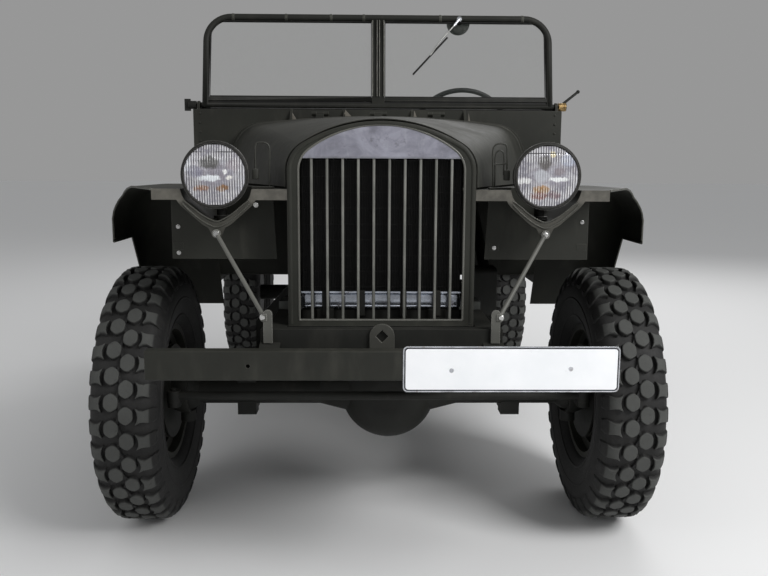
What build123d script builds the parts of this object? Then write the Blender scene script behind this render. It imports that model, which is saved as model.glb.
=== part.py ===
from build123d import *
import os
from math import atan2, cos, degrees, hypot, radians, sin, sqrt, tan

# An open light 4x4 field car of the 1940s, canvas off, left-hand drive.
# X points to the car's left, Y to its rear and Z up; the tyres stand on Z = 0.
# The origin is the middle of the car's length and width, on the ground.

# Overall sizes
overall_length = 3350
overall_width = 1690
wheelbase = 2100
track = 1446
front_overhang = 680

# Wheels and tyres
tyre_radius = 402
tyre_width = 196
tread_width = 148
rim_radius = 203
rim_half_width = 57
rim_flange = 13
rim_sheet = 4
disc_face = 12
disc_sheet = 5
hub_radius = 42
cap_wall = 3
drum_radius = 150
drum_wall = 6
drum_depth = 62
spindle_radius = 24
running_gap = 0.05
seat_gap = 0.3
moving_gap = 5

# Axles and steering
kingpin_x = 620
ball_radius = 62
knuckle_wall = 10
axle_tube_radius = 42
diff_radius = 150
front_diff_x = 30
kingpin_radius = 14
kingpin_z = 60
arm_length = 185
arm_thickness = 16
tie_rod_z = 436
tie_rod_radius = 13
ball_stud_radius = 9
ball_eye_radius = 21
ball_eye_height = 34

# Frame
rail_x = 302
rail_flange = 50
rail_height = 110
rail_sheet = 5
frame_top = 700
frame_overhang = 330
frame_rear = wheelbase + frame_overhang
horn_top = 680
horn_height = 58

# Springs
spring_x = 425
leaf_width = 50
leaf_thickness = 8

# Front end
bumper_length = 1130
bumper_height = 73
bumper_depth = 35
bumper_sheet = 4
bumper_bottom = 614
plate_length = 520
plate_height = 112
plate_sheet = 2
plate_x = 309
plate_z = 643
guide_width = 62
guide_sheet = 8
guide_top = 737
guide_hole = 22

# Radiator shell and grille
shell_front = -430
shell_depth = 90
shell_half_width = 247
shell_bottom = 699
shell_side_top = 1150
shell_top = 1238
shell_corner = 80
shell_column = 29
grille_bottom = 716
grille_top = 1142
bar_count = 10
bar_pitch = 40.8
bar_width = 8
bar_depth = 14
body_sheet = 2.5

# Bonnet and cowl
firewall_y = 545
cowl_half_width = 693
cowl_top = 1333
bonnet_front = -412
bonnet_rear = 500
bonnet_foot = 1068
bonnet_rear_half_width = 600
bonnet_shoulder_x = 520
bonnet_shoulder_z = 1275
bonnet_crown = 1310
bonnet_corner = 110
hinge_z = 1316
hinge_pin_radius = 3
hinge_barrel_radius = 8

# Fenders and lamps
fender_top = 1062
fender_front = -430
fender_skirt = 881
fender_tail_z = 600
fender_slope_y = 300
fender_tail_y = 520
strip_end = 600
fender_shoulder = 130
fender_crease = 150
flare_y = 20
apron_x = 590
apron_front = -330
apron_front_x = 571
apron_foot = 868
strip_height = 29
trough_x = 432
trough_half_top = 94
trough_half_knee = 86
trough_knee = 1036
trough_vertex = 960
trough_rear = -150
knee_round = 40
valley_round = 45
strip_width = 18
lamp_z = 1098
lamp_y = -440
lamp_radius = 88
lens_radius = 79
lamp_depth = 150
lamp_sheet = 2
brace_radius = 5.5

# Windscreen
screen_hinge_y = 565
screen_hinge_z = 1349
screen_rake = 12
screen_half_width = 662
screen_height = 352
screen_tube = 25
screen_corner = 75
screen_post = 47
glass_sheet = 5
hinge_tube_radius = 10
screen_pin_radius = 6

# Body
floor_z = 712
body_bottom = 620
body_top = 1180
body_overhang = 355
body_rear = wheelbase + body_overhang
door_bottom = 810
door_front = 665
door_rear = 1290
door_corner = 120
edge_flange = 16
wheel_box_width = 93
wheel_box_x = cowl_half_width - wheel_box_width
wheel_box_half = 480
wheel_box_top = 915
rear_fender_x = 838

# Seats, controls and spare wheel
steering_wheel_x = 350
steering_wheel_y = 930
steering_wheel_z = 1266
steering_wheel_radius = 205
rim_tube_radius = 10
column_angle = 30
column_radius = 19
front_seat_inset = 353
front_seat_x = cowl_half_width - front_seat_inset
hump_half = 135
hump_top = 806
hump_rear = 1060
spare_z = 960
hitch_eye_radius = 22

# Places worked out from the sizes above
front_axle_y = -overall_length / 2 + front_overhang
rear_axle_y = front_axle_y + wheelbase
wheel_x = track / 2
axle_z = tyre_radius
bumper_face_y = -overall_length / 2 + plate_sheet
frame_front = bumper_face_y + bumper_sheet + seat_gap - front_axle_y
spare_y = overall_length / 2 - tyre_width / 2


def at(y):
    """The Y of a place that is measured rearwards from the front axle."""
    return front_axle_y + y


def finish(piece, name):
    """Labels one finished piece and writes its file."""
    piece.part.label = name
    export_step(piece.part, f"parts/{name}.step")


os.makedirs("parts", exist_ok=True)


# Tyres: one section turned about the wheel's axle, the same for all five
def tyre_section(plane):
    """Half-width steps follow the bead, the side wall, the shoulder and the tread's crown."""
    bead = rim_half_width
    flange_top = rim_radius + rim_flange
    wall_radius = (flange_top + tyre_radius) / 2 - 8
    shoulder = tread_width / 2
    bulge = tyre_width / 2 - 1.2
    with BuildSketch(plane) as section:
        with BuildLine():
            Line((-bead, rim_radius), (bead, rim_radius))
            Line((bead, rim_radius), (bead, flange_top + 1))
            ThreePointArc((bead, flange_top + 1), (bulge, wall_radius), (shoulder + 10, tyre_radius - 20))
            Line((shoulder + 10, tyre_radius - 20), (shoulder, tyre_radius - 5))
            ThreePointArc((shoulder, tyre_radius - 5), (0, tyre_radius), (-shoulder, tyre_radius - 5))
            Line((-shoulder, tyre_radius - 5), (-shoulder - 10, tyre_radius - 20))
            ThreePointArc(
                (-shoulder - 10, tyre_radius - 20), (-bulge, wall_radius), (-bead, flange_top + 1)
            )
            Line((-bead, flange_top + 1), (-bead, rim_radius))
        make_face()
    return section.sketch


def rim_section(plane):
    """The rolled rim with its drop centre, the pressed disc and the hub cap, outboard to the right."""
    edge = rim_half_width
    well = 25
    well_radius = rim_radius - 25
    seat = rim_radius - rim_sheet
    with BuildSketch(plane) as section:
        with BuildLine():
            Polyline(
                (-edge - rim_sheet, rim_radius + rim_flange),
                (-edge, rim_radius + rim_flange),
                (-edge, rim_radius),
                (-well - 5, rim_radius - 2),
                (-well, well_radius),
                (well, well_radius),
                (well + 5, rim_radius - 2),
                (edge, rim_radius),
                (edge, rim_radius + rim_flange),
                (edge + rim_sheet, rim_radius + rim_flange),
                (edge + rim_sheet, seat),
                (well + 5 + rim_sheet, seat - 2),
                (well + rim_sheet, well_radius - rim_sheet),
                (-well - rim_sheet, well_radius - rim_sheet),
                (-well - 5 - rim_sheet, seat - 2),
                (-edge - rim_sheet, seat),
                close=True,
            )
        make_face()
        with BuildLine():
            Polyline(
                (disc_face, hub_radius - 6),
                (disc_face, 82),
                (disc_face + 20, 104),
                (disc_face + 20, 138),
                (disc_face - 6, 160),
                (disc_face - 6, well_radius - rim_sheet + 1),
                (disc_face - 6 + disc_sheet, well_radius - rim_sheet + 1),
                (disc_face - 6 + disc_sheet, 162),
                (disc_face + 20 + disc_sheet, 140),
                (disc_face + 20 + disc_sheet, 102),
                (disc_face + disc_sheet, 80),
                (disc_face + disc_sheet, hub_radius - 6),
                close=True,
            )
        make_face()
        cap_foot = disc_face + disc_sheet
        dome_foot = cap_foot + 28
        dome_edge = hub_radius - 4
        dome_rise = 17
        dome_radius = (dome_rise**2 + dome_edge**2) / (2 * dome_rise)
        dome_centre = dome_foot + dome_rise - dome_radius
        skin_radius = dome_radius - cap_wall
        skin_edge = dome_edge - cap_wall
        skin_foot = (dome_centre + sqrt(skin_radius**2 - skin_edge**2), skin_edge)
        middle = dome_edge / 2
        with BuildLine():
            Line((cap_foot, hub_radius), (dome_foot, dome_edge))
            ThreePointArc(
                (dome_foot, dome_edge),
                (dome_centre + sqrt(dome_radius**2 - middle**2), middle),
                (dome_centre + dome_radius, 0),
            )
            Line((dome_centre + dome_radius, 0), (dome_centre + skin_radius, 0))
            ThreePointArc(
                (dome_centre + skin_radius, 0),
                (dome_centre + sqrt(skin_radius**2 - middle**2), middle),
                skin_foot,
            )
            Line(skin_foot, (cap_foot, hub_radius - cap_wall))
            Line((cap_foot, hub_radius - cap_wall), (cap_foot, hub_radius))
        make_face()
    return section.sketch


def drum_section(plane):
    """The brake drum's cup, open inboard, and the hub that turns on the spindle."""
    web = disc_face - drum_wall
    with BuildSketch(plane) as section:
        with BuildLine():
            Polyline(
                (disc_face + 1, spindle_radius + running_gap),
                (disc_face + 1, hub_radius + 30),
                (disc_face, hub_radius + 30),
                (disc_face, drum_radius - 8),
                (disc_face - 4, drum_radius),
                (disc_face - drum_depth, drum_radius),
                (disc_face - drum_depth, drum_radius - drum_wall),
                (web, drum_radius - drum_wall),
                (web, hub_radius),
                (web - 26, hub_radius),
                (web - 26, spindle_radius + running_gap),
                close=True,
            )
        make_face()
    return section.sketch


# Each road wheel: its name's ending, the side of the car and its axle's place
wheels = [
    ("front_left", 1, front_axle_y),
    ("front_right", -1, front_axle_y),
    ("rear_left", 1, rear_axle_y),
    ("rear_right", -1, rear_axle_y),
]
for place, side, axle_y in wheels:
    turning = Axis((0, axle_y, axle_z), (1, 0, 0))
    section_plane = Plane(origin=(side * wheel_x, axle_y, axle_z), x_dir=(side, 0, 0), z_dir=(0, -side, 0))

    with BuildPart() as tyre:
        revolve(tyre_section(section_plane), axis=turning)
    finish(tyre, f"tyre_{place}")

    with BuildPart() as rim:
        with BuildSketch(section_plane):
            add(rim_section(Plane.XY))
            add(drum_section(Plane.XY))
        revolve(axis=turning)
    finish(rim, f"rim_{place}")


# Spare wheel: the same tyre and rim, facing rearwards on the back of the body
spare_plane = Plane(origin=(0, spare_y, spare_z), x_dir=(0, 1, 0), z_dir=(1, 0, 0))
spare_axis = Axis((0, spare_y, spare_z), (0, 1, 0))

with BuildPart() as spare_tyre:
    revolve(tyre_section(spare_plane), axis=spare_axis)
finish(spare_tyre, "spare_tyre")

with BuildPart() as spare_rim:
    revolve(rim_section(spare_plane), axis=spare_axis)
finish(spare_rim, "spare_rim")


# Frame: two channel rails, tapered at both ends, and their cross-members
def rail_outline(inset):
    """A rail's side view; the inset gives the inside of its web and flanges."""
    top = frame_top - inset
    foot = frame_top - rail_height + inset
    with BuildSketch(Plane.YZ) as outline:
        with BuildLine():
            Polyline(
                (at(frame_front) + inset, horn_top - inset),
                (at(frame_front + 60), horn_top - inset),
                (at(frame_front + 110), top),
                (at(frame_rear) - inset, top),
                (at(frame_rear) - inset, foot + 40),
                (at(frame_rear - 330), foot),
                (at(frame_front + 420), foot),
                (at(frame_front + 90), horn_top - horn_height + inset),
                (at(frame_front) + inset, horn_top - horn_height + inset),
                close=True,
            )
        make_face()
    return outline.sketch


# Cross-members: place behind the front axle, height of the top and bottom, length along the car
cross_members = [
    (-575, 722, 642, 34),
    (-385, shell_bottom - seat_gap, 630, 60),
    (1010, 690, 610, 60),
    (1620, 690, 610, 60),
    (2396, 700, 600, 60),
]
with BuildPart() as frame:
    with Locations((rail_x - rail_flange, 0, 0)):
        add(extrude(rail_outline(0), amount=rail_flange, mode=Mode.PRIVATE))
    with Locations((rail_x - rail_flange - 1, 0, 0)):
        add(extrude(rail_outline(rail_sheet), amount=rail_flange - rail_sheet + 1, mode=Mode.PRIVATE),
            mode=Mode.SUBTRACT)
    mirror(about=Plane.YZ)
    for place, top, foot, length in cross_members:
        with BuildSketch(Plane.YZ.offset(-rail_x + 2)):
            with Locations((at(place), (top + foot) / 2)):
                Rectangle(length, top - foot)
            with Locations((at(place), (top + foot) / 2 - rail_sheet)):
                Rectangle(length - 2 * rail_sheet, top - foot, mode=Mode.SUBTRACT)
        extrude(amount=2 * rail_x - 4)
finish(frame, "frame")


def link(plane, start, end, radius):
    """The outline of a flat bar with round ends at two points of a plane."""
    with BuildSketch(plane) as bar:
        with Locations(start, end):
            Circle(radius)
        make_hull()
    return bar.sketch


def round_bar(start, end, radius):
    """A straight round bar between two points, as a separate solid."""
    length = hypot(*(b - a for a, b in zip(start, end)))
    direction = Vector(*end) - Vector(*start)
    with BuildPart() as bar:
        with BuildSketch(Plane(origin=start, z_dir=direction)):
            Circle(radius)
        extrude(amount=length)
    return bar.part


def sagitta(radius, run):
    """How far an arc of this radius falls away from its tangent over the run."""
    return radius - sqrt(radius**2 - run**2)


# Leaf packs: arcs about one centre above, one leaf under the other
pin_radius = 7
eye_radius = 14
ear_sheet = 5
quarter_end = 420
quarter_arc = 2600
quarter_eye_y = 46
rear_arc = 1300
rear_front_run = 480
rear_back_run = 300
leaf_count = 6
pack_height = leaf_count * leaf_thickness
pad_height = 10
rear_pack_top = axle_z + axle_tube_radius + pad_height + pack_height
upper_eye_z = axle_z + 62
lower_eye_z = axle_z - 46


def leaf_pack(centre_y, top_z, arc, spans):
    """One pack of leaves, the longest on top; each span is a leaf's front and rear end."""
    with BuildPart() as pack:
        for i, (start, end) in enumerate(spans):
            with BuildSketch(Plane.YZ.offset(spring_x)):
                with Locations((at(centre_y), top_z + arc)):
                    Circle(arc + (i + 1) * leaf_thickness)
                    Circle(arc + i * leaf_thickness, mode=Mode.SUBTRACT)
                with Locations((at((start + end) / 2), top_z)):
                    Rectangle(end - start, arc / 4, mode=Mode.INTERSECT)
            extrude(amount=leaf_width / 2, both=True)
    return pack.part


def spring_eye(y, z):
    """A rolled eye, ready to take its pin."""
    with BuildPart() as eye:
        with BuildSketch(Plane.YZ.offset(spring_x)):
            with Locations((at(y), z)):
                Circle(eye_radius)
                Circle(pin_radius + running_gap, mode=Mode.SUBTRACT)
        extrude(amount=leaf_width / 2, both=True)
    return eye.part


def pin_bore(y, z):
    """The bore of an eye, cut through the leaves that reach into it."""
    start = (spring_x - leaf_width, at(y), z)
    end = (spring_x + leaf_width, at(y), z)
    return round_bar(start, end, pin_radius + running_gap)


# Each eye of the rear packs: its run from the axle and whether it lies in front of it
rear_eyes = [(wheelbase - rear_front_run, rear_front_run), (wheelbase + rear_back_run, rear_back_run)]
eye_drop = leaf_thickness / 2

with BuildPart() as springs:
    for eye_z in (upper_eye_z, lower_eye_z):
        run = quarter_end - quarter_eye_y
        spans = [(quarter_eye_y + i * run / (leaf_count + 1), quarter_end) for i in range(leaf_count)]
        add(leaf_pack(quarter_end, eye_z + eye_drop - sagitta(quarter_arc, run), quarter_arc, spans))
        add(spring_eye(quarter_eye_y, eye_z))
        add(pin_bore(quarter_eye_y, eye_z), mode=Mode.SUBTRACT)
    shares = [1 - i / (leaf_count + 0.5) for i in range(leaf_count)]
    spans = [(wheelbase - rear_front_run * share, wheelbase + rear_back_run * share) for share in shares]
    add(leaf_pack(wheelbase, rear_pack_top, rear_arc, spans))
    for eye_y, run in rear_eyes:
        eye_z = rear_pack_top - eye_drop + sagitta(rear_arc, run)
        add(spring_eye(eye_y, eye_z))
        add(pin_bore(eye_y, eye_z), mode=Mode.SUBTRACT)
    mirror(about=Plane.YZ)
finish(springs, "springs")


def ears(y, z, anchor_y, anchor_z):
    """Two ears and a pin that hold a spring's eye."""
    start = spring_x - leaf_width / 2 - ear_sheet
    with BuildPart() as pair:
        for x in (start, spring_x + leaf_width / 2):
            outline = link(Plane.YZ.offset(x), (at(y), z), (at(anchor_y), anchor_z), eye_radius + 4)
            extrude(outline, amount=ear_sheet)
        add(round_bar((start, at(y), z), (start + leaf_width + 2 * ear_sheet, at(y), z), pin_radius))
    return pair.part


# Spring hangers: carriers on the outside of each rail, place, length along the car and foot
hangers = [
    (quarter_end + 55, 110, 318),
    (wheelbase - rear_front_run, 60, 632),
    (wheelbase + rear_back_run, 60, 590),
]
hanger_reach = spring_x + leaf_width / 2 + ear_sheet

with BuildPart() as spring_hangers:
    for place, length, foot in hangers:
        with BuildSketch(Plane.XZ.offset(-at(place) - length / 2)):
            with BuildLine():
                Polyline(
                    (rail_x, frame_top - 6),
                    (rail_x + 22, frame_top - 6),
                    (hanger_reach, max(foot + 30, frame_top - 150)),
                    (hanger_reach, foot),
                    (hanger_reach - leaf_width - 2 * ear_sheet, foot),
                    (rail_x, min(frame_top - rail_height + 4, frame_top - 60)),
                    close=True,
                )
            make_face()
        extrude(amount=length)
    for (eye_y, run), (place, length, foot) in zip(rear_eyes, hangers[1:]):
        eye_z = rear_pack_top - eye_drop + sagitta(rear_arc, run)
        add(ears(eye_y, eye_z, place, foot + 14))
    mirror(about=Plane.YZ)
finish(spring_hangers, "spring_hangers")


nose_length = 162


# Axles: banjo housing with its pinion nose, cones, tubes and the ends that carry the wheels
def differential(centre_x, axle_y, nose):
    """The banjo housing; nose is 1 where the pinion points to the rear and -1 to the front."""
    centre = (centre_x, axle_y, axle_z)
    with BuildPart() as housing:
        with BuildSketch(Plane(origin=centre, x_dir=(1, 0, 0), z_dir=(0, 0, nose))):
            with BuildLine():
                Line((0, -92), (40, -92))
                ThreePointArc((40, -92), (115, -72), (diff_radius, -18))
                Line((diff_radius, -18), (diff_radius, 18))
                ThreePointArc((diff_radius, 18), (112, 76), (62, 100))
                Polyline((62, 100), (52, 150), (60, 150), (60, nose_length), (0, nose_length), (0, -92))
            make_face()
        revolve(axis=Axis(centre, (0, 1, 0)))
        for side in (1, -1):
            with Locations(Location((centre_x + side * 120, axle_y, axle_z), (0, side * 90, 0))):
                Cone(bottom_radius=92, top_radius=axle_tube_radius, height=200)
    return housing.part


tube_half = kingpin_x - 20

with BuildPart() as front_axle:
    with Locations((0, front_axle_y, axle_z)):
        Cylinder(axle_tube_radius, 2 * tube_half, rotation=(0, 90, 0))
    add(differential(front_diff_x, front_axle_y, 1))
    for side in (1, -1):
        with Locations((side * kingpin_x, front_axle_y, axle_z)):
            Sphere(ball_radius)
        for step in (1, -1):
            with Locations((side * kingpin_x, front_axle_y, axle_z + step * kingpin_z)):
                Cylinder(kingpin_radius + running_gap, 40, mode=Mode.SUBTRACT)
        with Locations((side * spring_x, front_axle_y, axle_z)):
            Box(leaf_width + 2 * ear_sheet, 2 * 27, 148)
    with BuildPart(mode=Mode.PRIVATE) as front_ears:
        add(ears(quarter_eye_y, upper_eye_z, 0, axle_z + 44))
        add(ears(quarter_eye_y, lower_eye_z, 0, axle_z - 40))
        mirror(about=Plane.YZ)
    add(front_ears.part)
finish(front_axle, "front_axle")

backing_x = wheel_x + disc_face - drum_depth - 9
backing_sheet = 6
spindle_end = wheel_x + 45

with BuildPart() as rear_axle:
    with Locations((0, rear_axle_y, axle_z)):
        Cylinder(axle_tube_radius, 2 * backing_x, rotation=(0, 90, 0))
        Cylinder(spindle_radius, 2 * spindle_end, rotation=(0, 90, 0))
    add(differential(0, rear_axle_y, -1))
    for side in (1, -1):
        with Locations((side * backing_x, rear_axle_y, axle_z)):
            Cylinder(drum_radius, backing_sheet, rotation=(0, 90, 0))
        with Locations((side * spring_x, rear_axle_y, axle_z + axle_tube_radius)):
            Box(leaf_width + 10, 90, 2 * pad_height - 2 * seat_gap)
finish(rear_axle, "rear_axle")


# Steering knuckles: cup over the axle's ball, kingpins, backing plate, spindle and steering arm
arm_z = tie_rod_z - ball_eye_height / 2 - seat_gap - arm_thickness
cup_inner = ball_radius + 2
cup_outer = cup_inner + knuckle_wall
cup_reach = 12
centre = (kingpin_x, front_axle_y, axle_z)

knuckle_plane = Plane(origin=centre, x_dir=(1, 0, 0), z_dir=(0, -1, 0))
knuckle_axis = Axis(centre, (1, 0, 0))


def cup_section(radius, reach):
    """Half a disc about the ball's middle that stops short of the axle's tube."""
    with BuildSketch() as section:
        Circle(radius)
        with Locations((0, -radius), (-radius - reach, 0)):
            Rectangle(2 * radius, 2 * radius, mode=Mode.SUBTRACT)
    return section.sketch


with BuildPart() as knuckle_left:
    with BuildSketch(knuckle_plane):
        add(cup_section(cup_outer, cup_reach))
        with Locations((backing_x - kingpin_x, drum_radius / 2)):
            Rectangle(backing_sheet, drum_radius)
        with Locations(((spindle_end - kingpin_x) / 2, spindle_radius / 2)):
            Rectangle(spindle_end - kingpin_x, spindle_radius)
    revolve(axis=knuckle_axis)
    for step in (1, -1):
        with Locations((kingpin_x, front_axle_y, axle_z + step * (cup_outer + 8))):
            Cylinder(24, 34)
    extrude(
        link(
            Plane.XY.offset(arm_z),
            (kingpin_x + 8, front_axle_y - cup_outer + 14),
            (kingpin_x, front_axle_y - arm_length),
            19,
        ),
        amount=arm_thickness,
    )
    with BuildSketch(knuckle_plane):
        add(cup_section(cup_inner, cup_reach + 2))
    revolve(axis=knuckle_axis, mode=Mode.SUBTRACT)
    for step in (1, -1):
        with Locations((kingpin_x, front_axle_y, axle_z + step * kingpin_z)):
            Cylinder(kingpin_radius, 30)
    with BuildSketch(Plane.XY.offset(arm_z + arm_thickness / 2)):
        with Locations((kingpin_x, front_axle_y - arm_length)):
            Circle(ball_stud_radius)
    extrude(amount=arm_thickness / 2 + ball_eye_height + 6)
finish(knuckle_left, "knuckle_left")

with BuildPart() as knuckle_right:
    mirror(knuckle_left.part, about=Plane.YZ)
finish(knuckle_right, "knuckle_right")

# Tie rod between the two arms
with BuildPart() as tie_rod:
    with Locations((0, front_axle_y - arm_length, tie_rod_z)):
        Cylinder(tie_rod_radius, 2 * kingpin_x, rotation=(0, 90, 0))
    for side in (1, -1):
        with Locations((side * kingpin_x, front_axle_y - arm_length, tie_rod_z)):
            Cylinder(ball_eye_radius, ball_eye_height)
            Cylinder(ball_stud_radius + running_gap, ball_eye_height + 10, mode=Mode.SUBTRACT)
finish(tie_rod, "tie_rod")


# Engine, gearbox, shafts and exhaust
engine_front = -270
engine_rear = 350
engine_half = 185
engine_foot = 575
engine_top = 1040
mount_y = -140
mount_reach = 290

with BuildPart() as engine:
    with Locations((0, at((engine_front + engine_rear) / 2), (engine_foot + engine_top) / 2)):
        Box(2 * engine_half, engine_rear - engine_front, engine_top - engine_foot)
    fillet(engine.edges().filter_by(Axis.Y), 18)
    for side in (1, -1):
        with Locations((side * (engine_half + mount_reach) / 2, at(mount_y), frame_top + seat_gap + 12)):
            Box(mount_reach - engine_half + 20, 80, 24)
finish(engine, "engine")

transfer_front = 820
transfer_rear = 980 - seat_gap
transfer_half = 125
# Sections of the gearbox: place behind the front axle, half-width, bottom and top
gearbox_sections = [
    (engine_rear + seat_gap, 170, 580, 900),
    (520, 110, 600, 790),
    (transfer_front + 20, 95, 610, 780),
]

with BuildPart() as gearbox:
    for (y0, half0, foot0, top0), (y1, half1, foot1, top1) in zip(gearbox_sections, gearbox_sections[1:]):
        with BuildPart(mode=Mode.PRIVATE) as run:
            for y, half, foot, top in ((y0, half0, foot0, top0), (y1, half1, foot1, top1)):
                with BuildSketch(Plane.XZ.offset(-at(y))):
                    with Locations((0, (foot + top) / 2)):
                        RectangleRounded(2 * half, top - foot, 24)
            loft()
        add(run.part)
    with Locations((0, at((transfer_front + transfer_rear) / 2), (480 + 775) / 2)):
        Box(2 * transfer_half, transfer_rear - transfer_front, 775 - 480)
    fillet(gearbox.edges().filter_by(Axis.Y).group_by(Axis.Z)[0], 20)
finish(gearbox, "gearbox")


# Each propeller shaft: the end at the gearbox and the end at its axle's pinion nose
shaft_radius = 28
joint_radius = 44
shafts = [
    ((70, at(transfer_front - seat_gap), 540), (front_diff_x, front_axle_y + nose_length + seat_gap, axle_z)),
    ((0, at(transfer_rear + seat_gap), 540), (0, rear_axle_y - nose_length - seat_gap, axle_z)),
]

with BuildPart() as propeller_shafts:
    for start, end in shafts:
        add(round_bar(start, end, shaft_radius))
        towards = 1 if end[1] > start[1] else -1
        for x, y, z, away in ((*start, towards), (*end, -towards)):
            with Locations(Location((x, y + away * 6, z), (90, 0, 0))):
                Cylinder(joint_radius + 12, 12)
            with Locations((x, y + away * 34, z)):
                Sphere(joint_radius)
            with Locations((x, y - away * 50, z)):
                Box(4 * joint_radius, 100, 4 * joint_radius, mode=Mode.SUBTRACT)
finish(propeller_shafts, "propeller_shafts")


# Exhaust: pipe along the inside of the right rail, silencer and tail pipe
exhaust_x = -222
exhaust_z = 538
pipe_radius = 22
silencer_x = -185
silencer_front = 1110
silencer_length = 440
silencer_radius = 62

with BuildPart() as exhaust:
    with BuildLine() as downpipe:
        FilletPolyline(
            (-engine_half - seat_gap, at(240), 830),
            (exhaust_x, at(240), 830),
            (exhaust_x, at(240), exhaust_z),
            (exhaust_x, at(560), exhaust_z),
            (silencer_x, at(silencer_front - 200), exhaust_z),
            (silencer_x, at(silencer_front + 10), exhaust_z),
            radius=34,
        )
    with BuildSketch(Plane(origin=downpipe.line @ 0, z_dir=downpipe.line % 0)):
        Circle(pipe_radius)
    sweep(path=downpipe.line)
    with BuildSketch(Plane.XZ.offset(-at(silencer_front))):
        with Locations((silencer_x, exhaust_z)):
            Circle(silencer_radius)
    extrude(amount=-silencer_length)
    fillet(exhaust.edges().filter_by(GeomType.CIRCLE).filter_by(lambda e: e.radius > silencer_radius - 1), 14)
    with BuildLine() as tailpipe:
        FilletPolyline(
            (silencer_x, at(silencer_front + silencer_length - 10), exhaust_z),
            (silencer_x, at(2250), exhaust_z),
            (silencer_x - 90, at(2420), exhaust_z - 20),
            radius=90,
        )
    with BuildSketch(Plane(origin=tailpipe.line @ 0, z_dir=tailpipe.line % 0)):
        Circle(pipe_radius)
    sweep(path=tailpipe.line)
    strap_top = 610 - seat_gap
    with Locations((silencer_x, at(1620), (exhaust_z + 10 + strap_top) / 2)):
        Box(24, 60, strap_top - exhaust_z - 10)
finish(exhaust, "exhaust")


# Bumper, blank plate, starting-handle guide and fender braces
with BuildPart() as front_bumper:
    bumper_z = bumper_bottom + bumper_height / 2
    with BuildSketch(Plane.YZ.offset(-bumper_length / 2)):
        with Locations((bumper_face_y + bumper_depth / 2, bumper_z)):
            RectangleRounded(bumper_depth, bumper_height, 5)
        with Locations((bumper_face_y + bumper_depth / 2 + bumper_sheet, bumper_z)):
            Rectangle(bumper_depth, bumper_height - 2 * bumper_sheet, mode=Mode.SUBTRACT)
        with Locations((bumper_face_y + bumper_depth, bumper_z)):
            Rectangle(6, bumper_height, mode=Mode.SUBTRACT)
    extrude(amount=bumper_length)
    with Locations(Location((-320, bumper_face_y, 650), (90, 0, 0))):
        Hole(5, depth=2 * bumper_sheet)
    chamfer(front_bumper.edges().filter_by(Axis.Y).group_by(Axis.X)[-1], 1)
    chamfer(front_bumper.edges().filter_by(Axis.Y).group_by(Axis.X)[0], 1)
finish(front_bumper, "front_bumper")

with BuildPart() as number_plate:
    with BuildSketch(Plane.XZ.offset(-bumper_face_y)):
        with Locations((plate_x, plate_z)):
            RectangleRounded(plate_length, plate_height, 11)
    extrude(amount=plate_sheet)
finish(number_plate, "number_plate")

guide_back = -575 - 34 / 2
with BuildPart() as crank_guide:
    with BuildSketch(Plane.XZ.offset(-at(guide_back))):
        with Locations((0, guide_top - guide_width / 2)):
            Circle(guide_width / 2)
        with Locations((0, (guide_top - guide_width / 2 + 650) / 2)):
            Rectangle(guide_width, guide_top - guide_width / 2 - 650)
        with Locations(Location((0, guide_top - guide_width / 2, 0), (0, 0, 45))):
            Rectangle(guide_hole, guide_hole, mode=Mode.SUBTRACT)
    extrude(amount=guide_sheet)
    chamfer(crank_guide.faces().sort_by(Axis.Y)[0].edges(), 1)
finish(crank_guide, "crank_guide")

tab_radius = 11
tab_sheet = 11
strip_sheet = 3
brace_top = (trough_x, at(fender_front - seat_gap - tab_sheet / 2), 946)
brace_foot = (292, at(guide_back + tab_sheet / 2 + 6), 750)
lug_width = 22
lug_foot = 689
lug_top = 761
lug_x = 281

with BuildPart() as fender_braces:
    add(round_bar(brace_foot, brace_top, brace_radius))
    for x, y, z in (brace_top, brace_foot):
        with Locations(Location((x, y, z), (90, 0, 0))):
            Cylinder(tab_radius, tab_sheet)
    with BuildSketch(Plane.XZ.offset(-at(guide_back - seat_gap))):
        with Locations((lug_x, (lug_foot + lug_top) / 2)):
            Rectangle(lug_width, lug_top - lug_foot)
        with Locations((lug_x, lug_top)):
            Circle(lug_width / 2)
    extrude(amount=guide_sheet)
    with Locations((brace_foot[0] - 3, at(guide_back), brace_foot[2] + 4)):
        Box(12, 2 * tab_sheet, 16)
    mirror(about=Plane.YZ)
finish(fender_braces, "fender_braces")


# Radiator shell, its grille and the radiator behind
def arch_outline(plane, foot_x, foot, side_x, side_top, crown, corner):
    """A flat-bottomed arch: two sides, two round shoulders and a long crown."""
    with BuildSketch(plane) as outline:
        with BuildLine():
            Polyline((-side_x, side_top), (-foot_x, foot), (foot_x, foot), (side_x, side_top))
            ThreePointArc((side_x, side_top), (0, crown), (-side_x, side_top))
        make_face()
        fillet(outline.vertices().group_by(Axis.Y)[-1], corner)
    return outline.sketch


def across(y):
    """The upright plane across the car at a place behind the front axle, seen from the front."""
    return Plane.XZ.offset(-at(y))


def shell_outline(y, inset):
    return arch_outline(
        across(y),
        shell_half_width - inset,
        shell_bottom + inset,
        shell_half_width - inset,
        shell_side_top,
        shell_top - inset,
        shell_corner - inset,
    )


def opening_outline(y):
    half = shell_half_width - shell_column
    side_top = shell_side_top - 8
    return arch_outline(across(y), half, grille_bottom, half, side_top, shell_top - 9, shell_corner - 12)


with BuildPart() as radiator_shell:
    extrude(shell_outline(shell_front, 0), amount=-shell_depth)
    extrude(shell_outline(shell_front + body_sheet, body_sheet), amount=-shell_depth, mode=Mode.SUBTRACT)
    extrude(opening_outline(shell_front - 1), amount=-10, mode=Mode.SUBTRACT)
finish(radiator_shell, "radiator_shell")

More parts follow.
